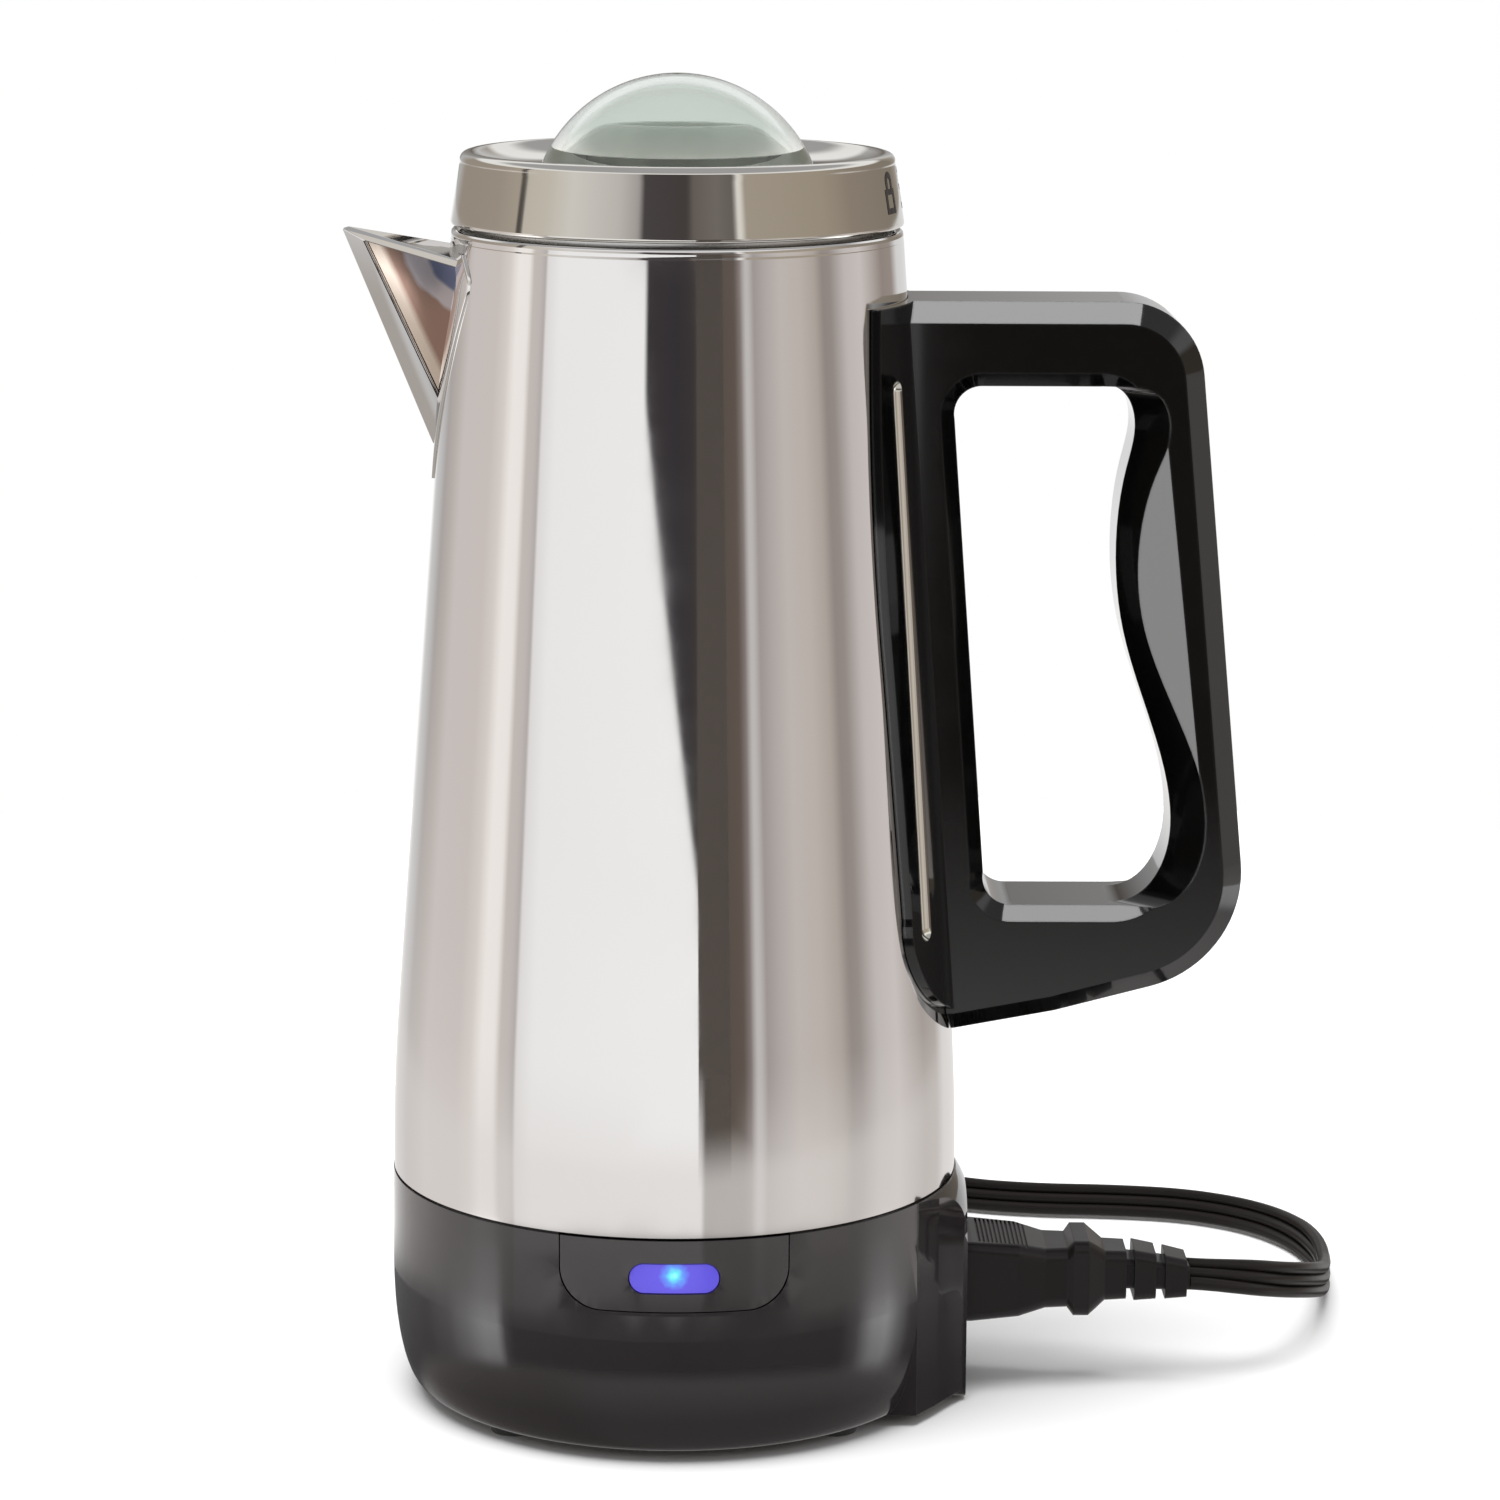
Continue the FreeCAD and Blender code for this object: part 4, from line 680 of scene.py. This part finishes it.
LEAD_ROUTE = [
    (132.5, 0.0, 28.4), (146.0, 1.2, 27.2), (157.5, 9.0, 24.0), (165.5, 21.5, 20.0), (171.0, 38.0, 15.0),
    (175.0, 56.5, 9.6), (178.0, 76.0, 5.7), (179.0, 96.0, CORD_LIE), (175.0, 115.5, CORD_LIE),
    (164.5, 132.0, CORD_LIE), (147.5, 143.0, CORD_LIE), (126.5, 147.2, CORD_LIE),
    (104.0, 148.4, CORD_LIE), (83.5, 153.5, CORD_LIE), (66.0, 163.8, CORD_LIE),
    (50.5, 174.2, CORD_LIE)]

TAIL_ROUTE = [
    (37.1, 176.9, CORD_OVER), (25.0, 181.6, 15.0), (11.5, 186.0, 14.6), (-2.5, 190.3, 12.6),
    (-16.0, 195.0, 11.0)]


def eased(value, low, high):
    """0 before low, 1 after high, smooth between."""
    share = min(1.0, max(0.0, (value - low) / (high - low)))
    return share * share * (3 - 2 * share)


def coil_route():
    """Two turns on edge, the second inside the first. Its end rises over them."""
    points = []
    step = 360.0 / POINTS_PER_TURN
    count = int((COIL_TO - COIL_FROM) / step)
    for i in range(1, count + 1):
        angle = COIL_FROM + step * i
        r = COIL_R_OUT + (COIL_R_IN - COIL_R_OUT) * eased(angle, *COIL_STEP_IN)
        z = CORD_LIE + (CORD_OVER - CORD_LIE) * eased(angle, *COIL_CLIMB)
        a = math.radians(angle)
        points.append((COIL_CENTRE[0] + r * math.cos(a), COIL_CENTRE[1] + r * math.sin(a), z))
    return points


def spline_line(name, route):
    """The smooth line that a route gives, as points read from its NURBS spline."""
    data = bpy.data.curves.new(name, "CURVE")
    data.dimensions = "3D"
    spline = data.splines.new("NURBS")
    spline.points.add(len(route) - 1)
    for point, place in zip(spline.points, route):
        point.co = (*[c * MM for c in place], 1.0)
    spline.order_u = 3
    spline.use_endpoint_u = True
    spline.resolution_u = 10
    guide = bpy.data.objects.new(name, data)
    bpy.context.scene.collection.objects.link(guide)
    bpy.context.view_layer.update()
    graph = bpy.context.evaluated_depsgraph_get()
    mesh = bpy.data.meshes.new_from_object(guide.evaluated_get(graph))
    line = [v.co.copy() for v in mesh.vertices]
    bpy.data.objects.remove(guide)
    bpy.data.meshes.remove(mesh)
    kept = [line[0]]
    for point in line[1:]:
        if (point - kept[-1]).length > LEAST_STEP:
            kept.append(point)
    return kept


def cord_section(steps=8):
    """Outline of the flat three-core cord: (across the width, across the thickness)."""
    core_r = CORD_WIDTH / 6
    upper = []
    for core in (-1, 0, 1):
        for i in range(steps + 1):
            a = math.radians(165 - 150 * i / steps)
            upper.append((core_r * (1.97 * core + 1.03 * math.cos(a)), CORD_THICK / 2 * math.sin(a)))
    lower = [(-x, -y) for x, y in upper]
    return upper + lower


def sweep(name, line, section, wide_at):
    """A closed tube along a line. wide_at(travelled, total, ahead) gives its width's direction."""
    lengths = [0.0]
    for a, b in zip(line, line[1:]):
        lengths.append(lengths[-1] + (b - a).length)
    vertices = []
    for i, point in enumerate(line):
        ahead = (line[min(i + 1, len(line) - 1)] - line[max(i - 1, 0)]).normalized()
        wide = wide_at(lengths[i], lengths[-1], ahead)
        wide = (wide - ahead * wide.dot(ahead)).normalized()
        thin = ahead.cross(wide)
        for x, y in section:
            vertices.append(point + wide * x + thin * y)
    count = len(section)
    faces = []
    for i in range(len(line) - 1):
        for j in range(count):
            k = (j + 1) % count
            faces.append((i * count + j, i * count + k, (i + 1) * count + k, (i + 1) * count + j))
    faces.append(tuple(range(count)))
    faces.append(tuple((len(line) - 1) * count + j for j in range(count)))
    return mesh_piece(name, vertices, faces, 50.0)


def cord_lay(travelled, total, ahead):
    """The width's direction: tilted at the connector, then on edge, leaning for a stretch behind
    the pot, and flat at the plug."""
    degrees = CORD_TILT + (90 - CORD_TILT) * eased(travelled, 0.002, 0.034)
    degrees += CORD_LEAN * (eased(travelled, 0.105, 0.155) - eased(travelled, 0.235, 0.275))
    degrees -= 90 * eased(travelled, total - 0.034, total - 0.004)
    a = math.radians(degrees)
    flat = UP.cross(ahead).normalized()
    return flat * math.cos(a) + UP * math.sin(a)


def make_cord():
    """The mains cord as one piece, from the connector through its coil to the plug."""
    line = spline_line("cord_guide", LEAD_ROUTE + coil_route() + TAIL_ROUTE)
    cord = sweep("mains_cord", line, cord_section(), cord_lay)
    dress(cord, "cord_jacket", "lead")
    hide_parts("cord_lead", "cord_coil", "cord_tail")


# ---------------------------------------------------------------- turned steel and glass
SEGMENTS = 256
SEAM_R, SEAM_Z = 71.6, 60.0             # where the steel meets the base
CONE_R, CONE_Z = 70.1, 101.0            # where the body's bulge runs into its cone
NECK_R, NECK_Z = 55.85, 296.0
BULGE_R = 562.5                         # of the body's side between the seam and the cone
WALL = 0.9


def body_radius(z):
    """Radius of the body's cone at a height."""
    return CONE_R - (CONE_R - NECK_R) * (z - CONE_Z) / (NECK_Z - CONE_Z)


def shell_profile():
    """Outline (r, z) of the steel body, with a rolled bead at the rim."""
    outer = [(SEAM_R - 0.15, SEAM_Z - 1.1), (SEAM_R, SEAM_Z - 0.9), (SEAM_R, SEAM_Z)]
    steps = 12
    for i in range(1, steps + 1):
        rise = (CONE_Z - SEAM_Z) * i / steps
        outer.append((SEAM_R - BULGE_R + math.sqrt(BULGE_R ** 2 - rise ** 2), SEAM_Z + rise))
    for z in (101.6, 150.0, 200.0, 250.0, 290.0, 292.5, 293.7, 294.3, 294.6):
        outer.append((body_radius(z), z))
    rim = [(55.84, 295.2), (55.88, 295.5), (55.86, 296.0), (55.7, 296.5), (55.35, 296.9), (54.9, 297.08),
           (54.4, 297.0), (53.95, 296.7), (53.65, 296.2), (53.55, 295.6), (53.55, 294.4), (54.9, 293.6)]
    inner = [(r - WALL, z) for r, z in outer[::-1] if z < 293.0]
    return outer + rim + inner


def spout_mouth():
    """Wedge that opens the neck behind the spout."""
    points = [(-90, 0, 299), (-50, 18.2, 289), (-50, -18.2, 289), (-66, 0, 249), (-44, 18.2, 289),
              (-44, -18.2, 289), (-50, 0, 249)]
    faces = [(0, 1, 3), (0, 3, 2), (0, 2, 1), (1, 4, 6, 3), (2, 3, 6, 5), (1, 2, 5, 4), (4, 5, 6)]
    return mesh_piece("mouth_cutter", [Vector(p) * MM for p in points], faces)


def make_shell():
    """The drawn steel body, opened behind the spout."""
    shell = lathe("steel_body", shell_profile(), SEGMENTS, 20.0)
    cutter = spout_mouth()
    apply_modifier(shell, "BOOLEAN", object=cutter, operation="DIFFERENCE", solver="EXACT")
    bpy.data.objects.remove(cutter)
    smooth(shell.data, 20.0)
    dress(shell, "polished_steel", "pot")
    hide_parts("body_shell")


LID_SIDE_LOW = (55.93, 299.3)           # (r, z) of the ends of the lid's straight side
LID_SIDE_HIGH = (53.75, 312.6)


def make_lid():
    """The lid's polished cap, with its two padlock marks."""
    profile = [(55.0, 298.25), (55.5, 298.27), (55.82, 298.45), (55.96, 298.85), LID_SIDE_LOW,
               LID_SIDE_HIGH, (53.6, 313.6)]
    profile += arc((51.75, 313.95), 1.85, 8, 78, 8)
    profile += [(51.6, 315.93), (51.0, 315.98), (50.4, 315.8), (49.6, 315.2), (48.2, 314.1), (45.5, 312.7),
                (42.0, 311.6), (37.5, 310.8), (30.0, 310.25), (21.2, 310.0), (20.6, 309.9), (20.4, 309.6),
                (20.4, 309.2), (30.0, 309.45), (37.5, 310.0), (42.0, 310.8), (45.5, 311.9), (48.2, 313.2),
                (49.8, 314.5), (51.2, 315.1), (52.3, 314.6), (52.85, 313.4), (53.0, 312.4), (54.9, 300.6),
                (55.0, 299.2)]
    lid = lathe("lid_cap", profile, SEGMENTS, 24.0)
    dress(lid, "lid_steel", "lid")
    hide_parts("lid_shell")
    lock_mark("open_mark", OPEN_MARK_AT, True)
    lock_mark("closed_mark", CLOSED_MARK_AT, False)


OPEN_MARK_AT, CLOSED_MARK_AT = -19.0, 0.0    # degrees round from the handle
MARK_HALF_WIDTH = 2.7
MARK_LOW, MARK_HIGH = 303.0, 307.6      # heights of the padlock's body
MARK_LINE = 1.4
HOOK_R = 1.7
HOOK_RISE = 2.4                         # of the hook's centre over the padlock's body
HOOK_GAP = 1.4                          # under the free end of an open hook
MARK_PROUD = 0.07


def lock_mark(name, degrees, is_open):
    """A padlock outline printed on the lid's side."""
    strokes = [[(side * MARK_HALF_WIDTH, z), (0, z)] for side in (-1, 1) for z in (MARK_LOW, MARK_HIGH)]
    strokes += [[(side * MARK_HALF_WIDTH, MARK_LOW), (side * MARK_HALF_WIDTH, MARK_HIGH)]
                for side in (-1, 1)]
    hook = [(HOOK_R, MARK_HIGH)] + arc((0, MARK_HIGH + HOOK_RISE), HOOK_R, 0, 180, 9)
    hook.append((-HOOK_R, MARK_HIGH + HOOK_GAP if is_open else MARK_HIGH))
    strokes += [[start, end] for start, end in zip(hook, hook[1:])]
    (low_r, low_z), (high_r, high_z) = LID_SIDE_LOW, LID_SIDE_HIGH
    vertices, faces = [], []
    for (u0, v0), (u1, v1) in strokes:
        size = math.hypot(u1 - u0, v1 - v0)
        du, dv = (u1 - u0) / size * MARK_LINE / 2, (v1 - v0) / size * MARK_LINE / 2
        corners = [(u0 - du - dv, v0 - dv + du), (u1 + du - dv, v1 + dv + du),
                   (u1 + du + dv, v1 + dv - du), (u0 - du + dv, v0 - dv - du)]
        faces.append(tuple(range(len(vertices), len(vertices) + 4)))
        for u, v in corners:
            r = low_r + (high_r - low_r) * (v - low_z) / (high_z - low_z) + MARK_PROUD
            a = math.radians(degrees) + u / r
            vertices.append((r * MM * math.cos(a), r * MM * math.sin(a), v * MM))
    mark = mesh_piece(name, vertices, faces)
    dress(mark, "lid_steel", "lid", "mark_ink")


DOME_CENTRE = 298.6
DOME_OUTER_R = 36.4
DOME_INNER_R = 33.8
DOME_FOOT_ANGLE, DOME_TOP_ANGLE = 23.2, 89.6    # of its outer arc over the level, in degrees
DOME_THROAT_ANGLE = 30.6                # where its inner arc meets the throat
THROAT_OUTER_R = 28.5
THROAT_LOW, THROAT_HIGH = 315.7, 323.0
FOOT_HIGH = 311.6


def make_knob():
    """The glass dome with its inner throat. The throat and the foot have a paler glass."""
    outer = arc((0, DOME_CENTRE), DOME_OUTER_R, DOME_FOOT_ANGLE, DOME_TOP_ANGLE, 40)
    inner = arc((0, DOME_CENTRE), DOME_INNER_R, DOME_TOP_ANGLE, DOME_THROAT_ANGLE, 36)
    throat = [(28.9, 315.6), (27.9, 316.0), (26.0, 317.3), (23.5, 319.4), (20.6, 321.4), (18.6, 322.3),
              (17.4, 322.6), (16.4, 322.4), (15.8, 321.8), (15.5, 320.9), (15.5, 300.9), (15.9, 300.5)]
    foot = [(19.2, 300.5), (19.6, 300.9), (19.6, 311.0), (19.9, 311.35), (20.6, 311.4), (31.6, 311.4),
            (32.7, 311.7), (33.3, 312.3)]
    knob = lathe("glass_dome", outer + inner + throat + foot, 224, 30.0)
    dress(knob, "knob_glass", "knob")
    knob.data.materials.append(MATERIALS["throat_glass"])
    for face in knob.data.polygons:
        r, z = Vector(face.center[:2]).length / MM, face.center.z / MM
        under_dome = DOME_CENTRE + math.sqrt(max(0.0, DOME_INNER_R ** 2 - r * r)) - 1.0
        in_throat = r < THROAT_OUTER_R and THROAT_LOW < z < min(THROAT_HIGH, under_dome)
        if in_throat or z < FOOT_HIGH:
            face.material_index = 1
    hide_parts("glass_knob")


# ---------------------------------------------------------------- handle
HOLLOW_ANGLE = 28.0         # of the saddle's two long hollows from the handle's middle
HOLLOW_LOW, HOLLOW_HIGH = 127.0, 260.0
HOLLOW_R = 3.2
SADDLE_RISE = 3.9           # of their axis over the body


def make_handle():
    """The CAD handle. Its long hollows get pale mirror steel instead of the black plastic, a painted
    reflection: they mirror the studio far brighter than the plastic would.
    """
    mesh = NODES["handle"].data.copy()
    handle = link("handle_moulding", mesh)
    dress(handle, "handle_plastic", "pot")
    mesh.materials.append(MATERIALS["handle_hollow_painted_shine"])
    for side in (-1, 1):
        a = math.radians(HOLLOW_ANGLE * side)
        low, high = [Vector(((body_radius(z) + SADDLE_RISE) * math.cos(a),
                             (body_radius(z) + SADDLE_RISE) * math.sin(a), z)) * MM
                     for z in (HOLLOW_LOW, HOLLOW_HIGH)]
        along = high - low
        for face in mesh.polygons:
            share = min(1.0, max(0.0, (face.center - low).dot(along) / along.length_squared))
            if (face.center - low - along * share).length < (HOLLOW_R + 0.06) * MM:
                face.material_index = 1
    smooth(mesh, 24.0)
    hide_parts("handle")


# ---------------------------------------------------------------- spout
# how far the painted shadow line along each panel's edge stands off the sheet
CREASE_SHADOW_LIFT = 0.22
CHEEK_EDGE = 0.22                       # rounding of the sheet's edges
PRESS_DEPTH = 0.4                       # of the panel, pressed into its cheek
PANEL_BULGE = 8.6
PANEL_STEPS = 8
LINER_DEPTH = 1.6                       # of the liner behind its cheek


def sided(side, *points):
    """Points given for the +Y cheek, on either cheek."""
    return [Vector((x, side * y, z)) for x, y, z in points]


def spout_corners(side):
    """The pressed panel's three corners on one cheek: nose, body and bottom."""
    return sided(side, (-77.0, 5.0, 294.0), (-53.2, 18.9, 288.6), (-58.7, 6.3, 255.0))


def spout_normal(side):
    """Outward normal of a cheek's pressed panel."""
    nose, body, bottom = spout_corners(side)
    normal = (body - nose).cross(bottom - nose).normalized()
    return normal if normal.y * side > 0 else -normal


def spout_recess(side):
    """Corners of the pressed panel's floor."""
    corners = spout_corners(side)
    middle = sum(corners, Vector()) / 3
    return [p + (middle - p).normalized() * PRESS_DEPTH - spout_normal(side) * PRESS_DEPTH
            for p in corners]


def spout_side(side):
    """Faces of one cheek round its pressed panel, and the panel's short walls."""
    tip, foot, corner, low = sided(side, (-82.8, 0, 296.6), (-60.6, 0, 243.0), (-51.4, 20.6, 290.2),
                                   (-58.0, 7.2, 251.0))
    inset = spout_corners(side)
    floor = spout_recess(side)
    faces = [[tip, inset[0], inset[2], low, foot], [tip, corner, inset[1], inset[0]],
             [inset[1], corner, low, inset[2]]]
    for i in range(3):
        j = (i + 1) % 3
        faces.append([inset[i], inset[j], floor[j], floor[i]])
    return faces


def spout_panel(side):
    """The pressed panel, which bulges a little."""
    floor = spout_recess(side)
    normal = spout_normal(side)

    def panel_point(i, j):
        a, b = i / PANEL_STEPS, j / PANEL_STEPS
        c = 1 - a - b
        return floor[0] * c + floor[1] * a + floor[2] * b + normal * (PANEL_BULGE * a * b * c)
    faces = []
    for i in range(PANEL_STEPS):
        for j in range(PANEL_STEPS - i):
            faces.append([panel_point(i, j), panel_point(i + 1, j), panel_point(i, j + 1)])
            if i + j < PANEL_STEPS - 1:
                faces.append([panel_point(i + 1, j), panel_point(i + 1, j + 1), panel_point(i, j + 1)])
    return faces


def spout_liner(side):
    """The smooth inner face of one cheek."""
    corners = sided(side, (-77.4, 5.0, 294.2), (-51.6, 19.8, 288.8), (-57.6, 6.6, 253.0))
    return [p - spout_normal(side) * LINER_DEPTH for p in corners]


def spout_crease_shadow(side, start, half_width):
    """A thin dark strip of painted shadow along the border of the pressed panel, from a corner to the
    bottom one.
    """
    corners = spout_corners(side)
    out = spout_normal(side)
    a, b = corners[start] + out * CREASE_SHADOW_LIFT, corners[2] + out * CREASE_SHADOW_LIFT
    across = (b - a).cross(out).normalized() * half_width
    return [a - across, b - across, b + across, a + across]


def faces_to_piece(name, faces, degrees):
    """A piece from faces that are each a list of points in millimetres."""
    vertices, loops = [], []
    for face in faces:
        loops.append(tuple(range(len(vertices), len(vertices) + len(face))))
        vertices += [p * MM for p in face]
    return mesh_piece(name, vertices, loops, degrees)


def make_cheeks():
    """The folded sheet of the spout, polished outside and dull inside."""
    cheeks = faces_to_piece("spout_cheeks", spout_side(-1) + spout_side(1), 12.0)
    apply_modifier(cheeks, "SOLIDIFY", thickness=WALL * MM, offset=-1.0, use_even_offset=True,
                   material_offset=1)
    apply_modifier(cheeks, "BEVEL", width=CHEEK_EDGE * MM, segments=2, limit_method="ANGLE",
                   angle_limit=math.radians(25))
    smooth(cheeks.data, 14.0)
    inner = [face.material_index for face in cheeks.data.polygons]
    dress(cheeks, "polished_steel", "pot")
    cheeks.data.materials.append(MATERIALS["spout_inside"])
    for face, index in zip(cheeks.data.polygons, inner):
        face.material_index = min(index, 1)
    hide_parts("spout")


FLANGE_LOW, FLANGE_TOP = 236.0, 283.0   # heights between which the flange widens
FLANGE_LOW_HALF, FLANGE_TOP_HALF = 2.2, 26.4
FLANGE_BULGE = 4.4
FLANGE_BAND = 7.0                       # how far it reaches in from its edge
FLANGE_STEPS = 40
# Its cross-section from the edge: how far in, and how proud of the body
FLANGE_EDGE = [(0, 0.02), (0.12, 0.50), (0.35, 0.64), (0.8, 0.66)]
FLANGE_PROUD = 0.68


def flange_half_width(z):
    """Half width of the flange at a height, rounded off at both ends."""
    if z < FLANGE_LOW:
        return 0.6
    if z > FLANGE_TOP + 1:
        return FLANGE_TOP_HALF + 0.2 - 0.42 * max(0.0, z - FLANGE_TOP - 3) ** 1.3
    up = min(1.0, (z - FLANGE_LOW) / (FLANGE_TOP - FLANGE_LOW))
    return FLANGE_LOW_HALF + (FLANGE_TOP_HALF - FLANGE_LOW_HALF) * up + FLANGE_BULGE * up * (1 - up)


def make_flange():
    """The welded saddle round the spout's root."""
    def on_body(y, z, proud):
        r = body_radius(z) + proud
        return Vector((-math.sqrt(r * r - y * y), y, z))
    heights = [FLANGE_LOW - 1.5]
    heights += [FLANGE_LOW + (FLANGE_TOP - FLANGE_LOW) * i / FLANGE_STEPS for i in range(FLANGE_STEPS + 1)]
    heights += [284.5, 286.0, 287.5, 289.0, 290.5, 292.2]
    faces = []
    for side in (-1, 1):
        rows = []
        for z in heights:
            wide = flange_half_width(z)
            thin = max(0.0, wide - FLANGE_BAND)
            rows.append([on_body(side * max(0.0, wide - step), z, proud) for step, proud in FLANGE_EDGE]
                        + [on_body(side * y, z, FLANGE_PROUD) for y in (max(thin, wide * 0.5), thin)])
        for low, high in zip(rows, rows[1:]):
            for i in range(len(low) - 1):
                faces.append([low[i], low[i + 1], high[i + 1], high[i]])
    flange = faces_to_piece("spout_flange", faces, 70.0)
    dress(flange, "polished_steel", "pot")
    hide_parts("spout")


def make_spout():
    """The spout from its cheeks, panels, liner, flange, and the painted shadow lines along its creases."""
    make_cheeks()
    # the panels' colour is a painted reflection of a room
    panel = faces_to_piece("spout_panels", spout_panel(-1) + spout_panel(1), 30.0)
    dress(panel, "polished_steel", "pot", "spout_panel")
    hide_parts("spout")
    liner = faces_to_piece("spout_liner", [spout_liner(-1), spout_liner(1)], 30.0)
    dress(liner, "polished_steel", "pot", "spout_inside")
    make_flange()
    # thin dark strips of painted shadow along the panels' edges
    lines = [spout_crease_shadow(side, start, half_width)
             for side in (-1, 1) for start, half_width in ((0, 0.17), (1, 0.09))]
    crease_shadow = faces_to_piece("spout_crease_shadows", lines, 30.0)
    dress(crease_shadow, "polished_steel", "pot", "crease_shadow")


bpy.context.scene.view_settings.view_transform = "Standard"
make_camera()
dress_cad_nodes()
make_cord()
make_shell()
make_lid()
make_knob()
make_handle()
make_spout()
make_floor()
make_front_gap()
make_world()
make_lights()
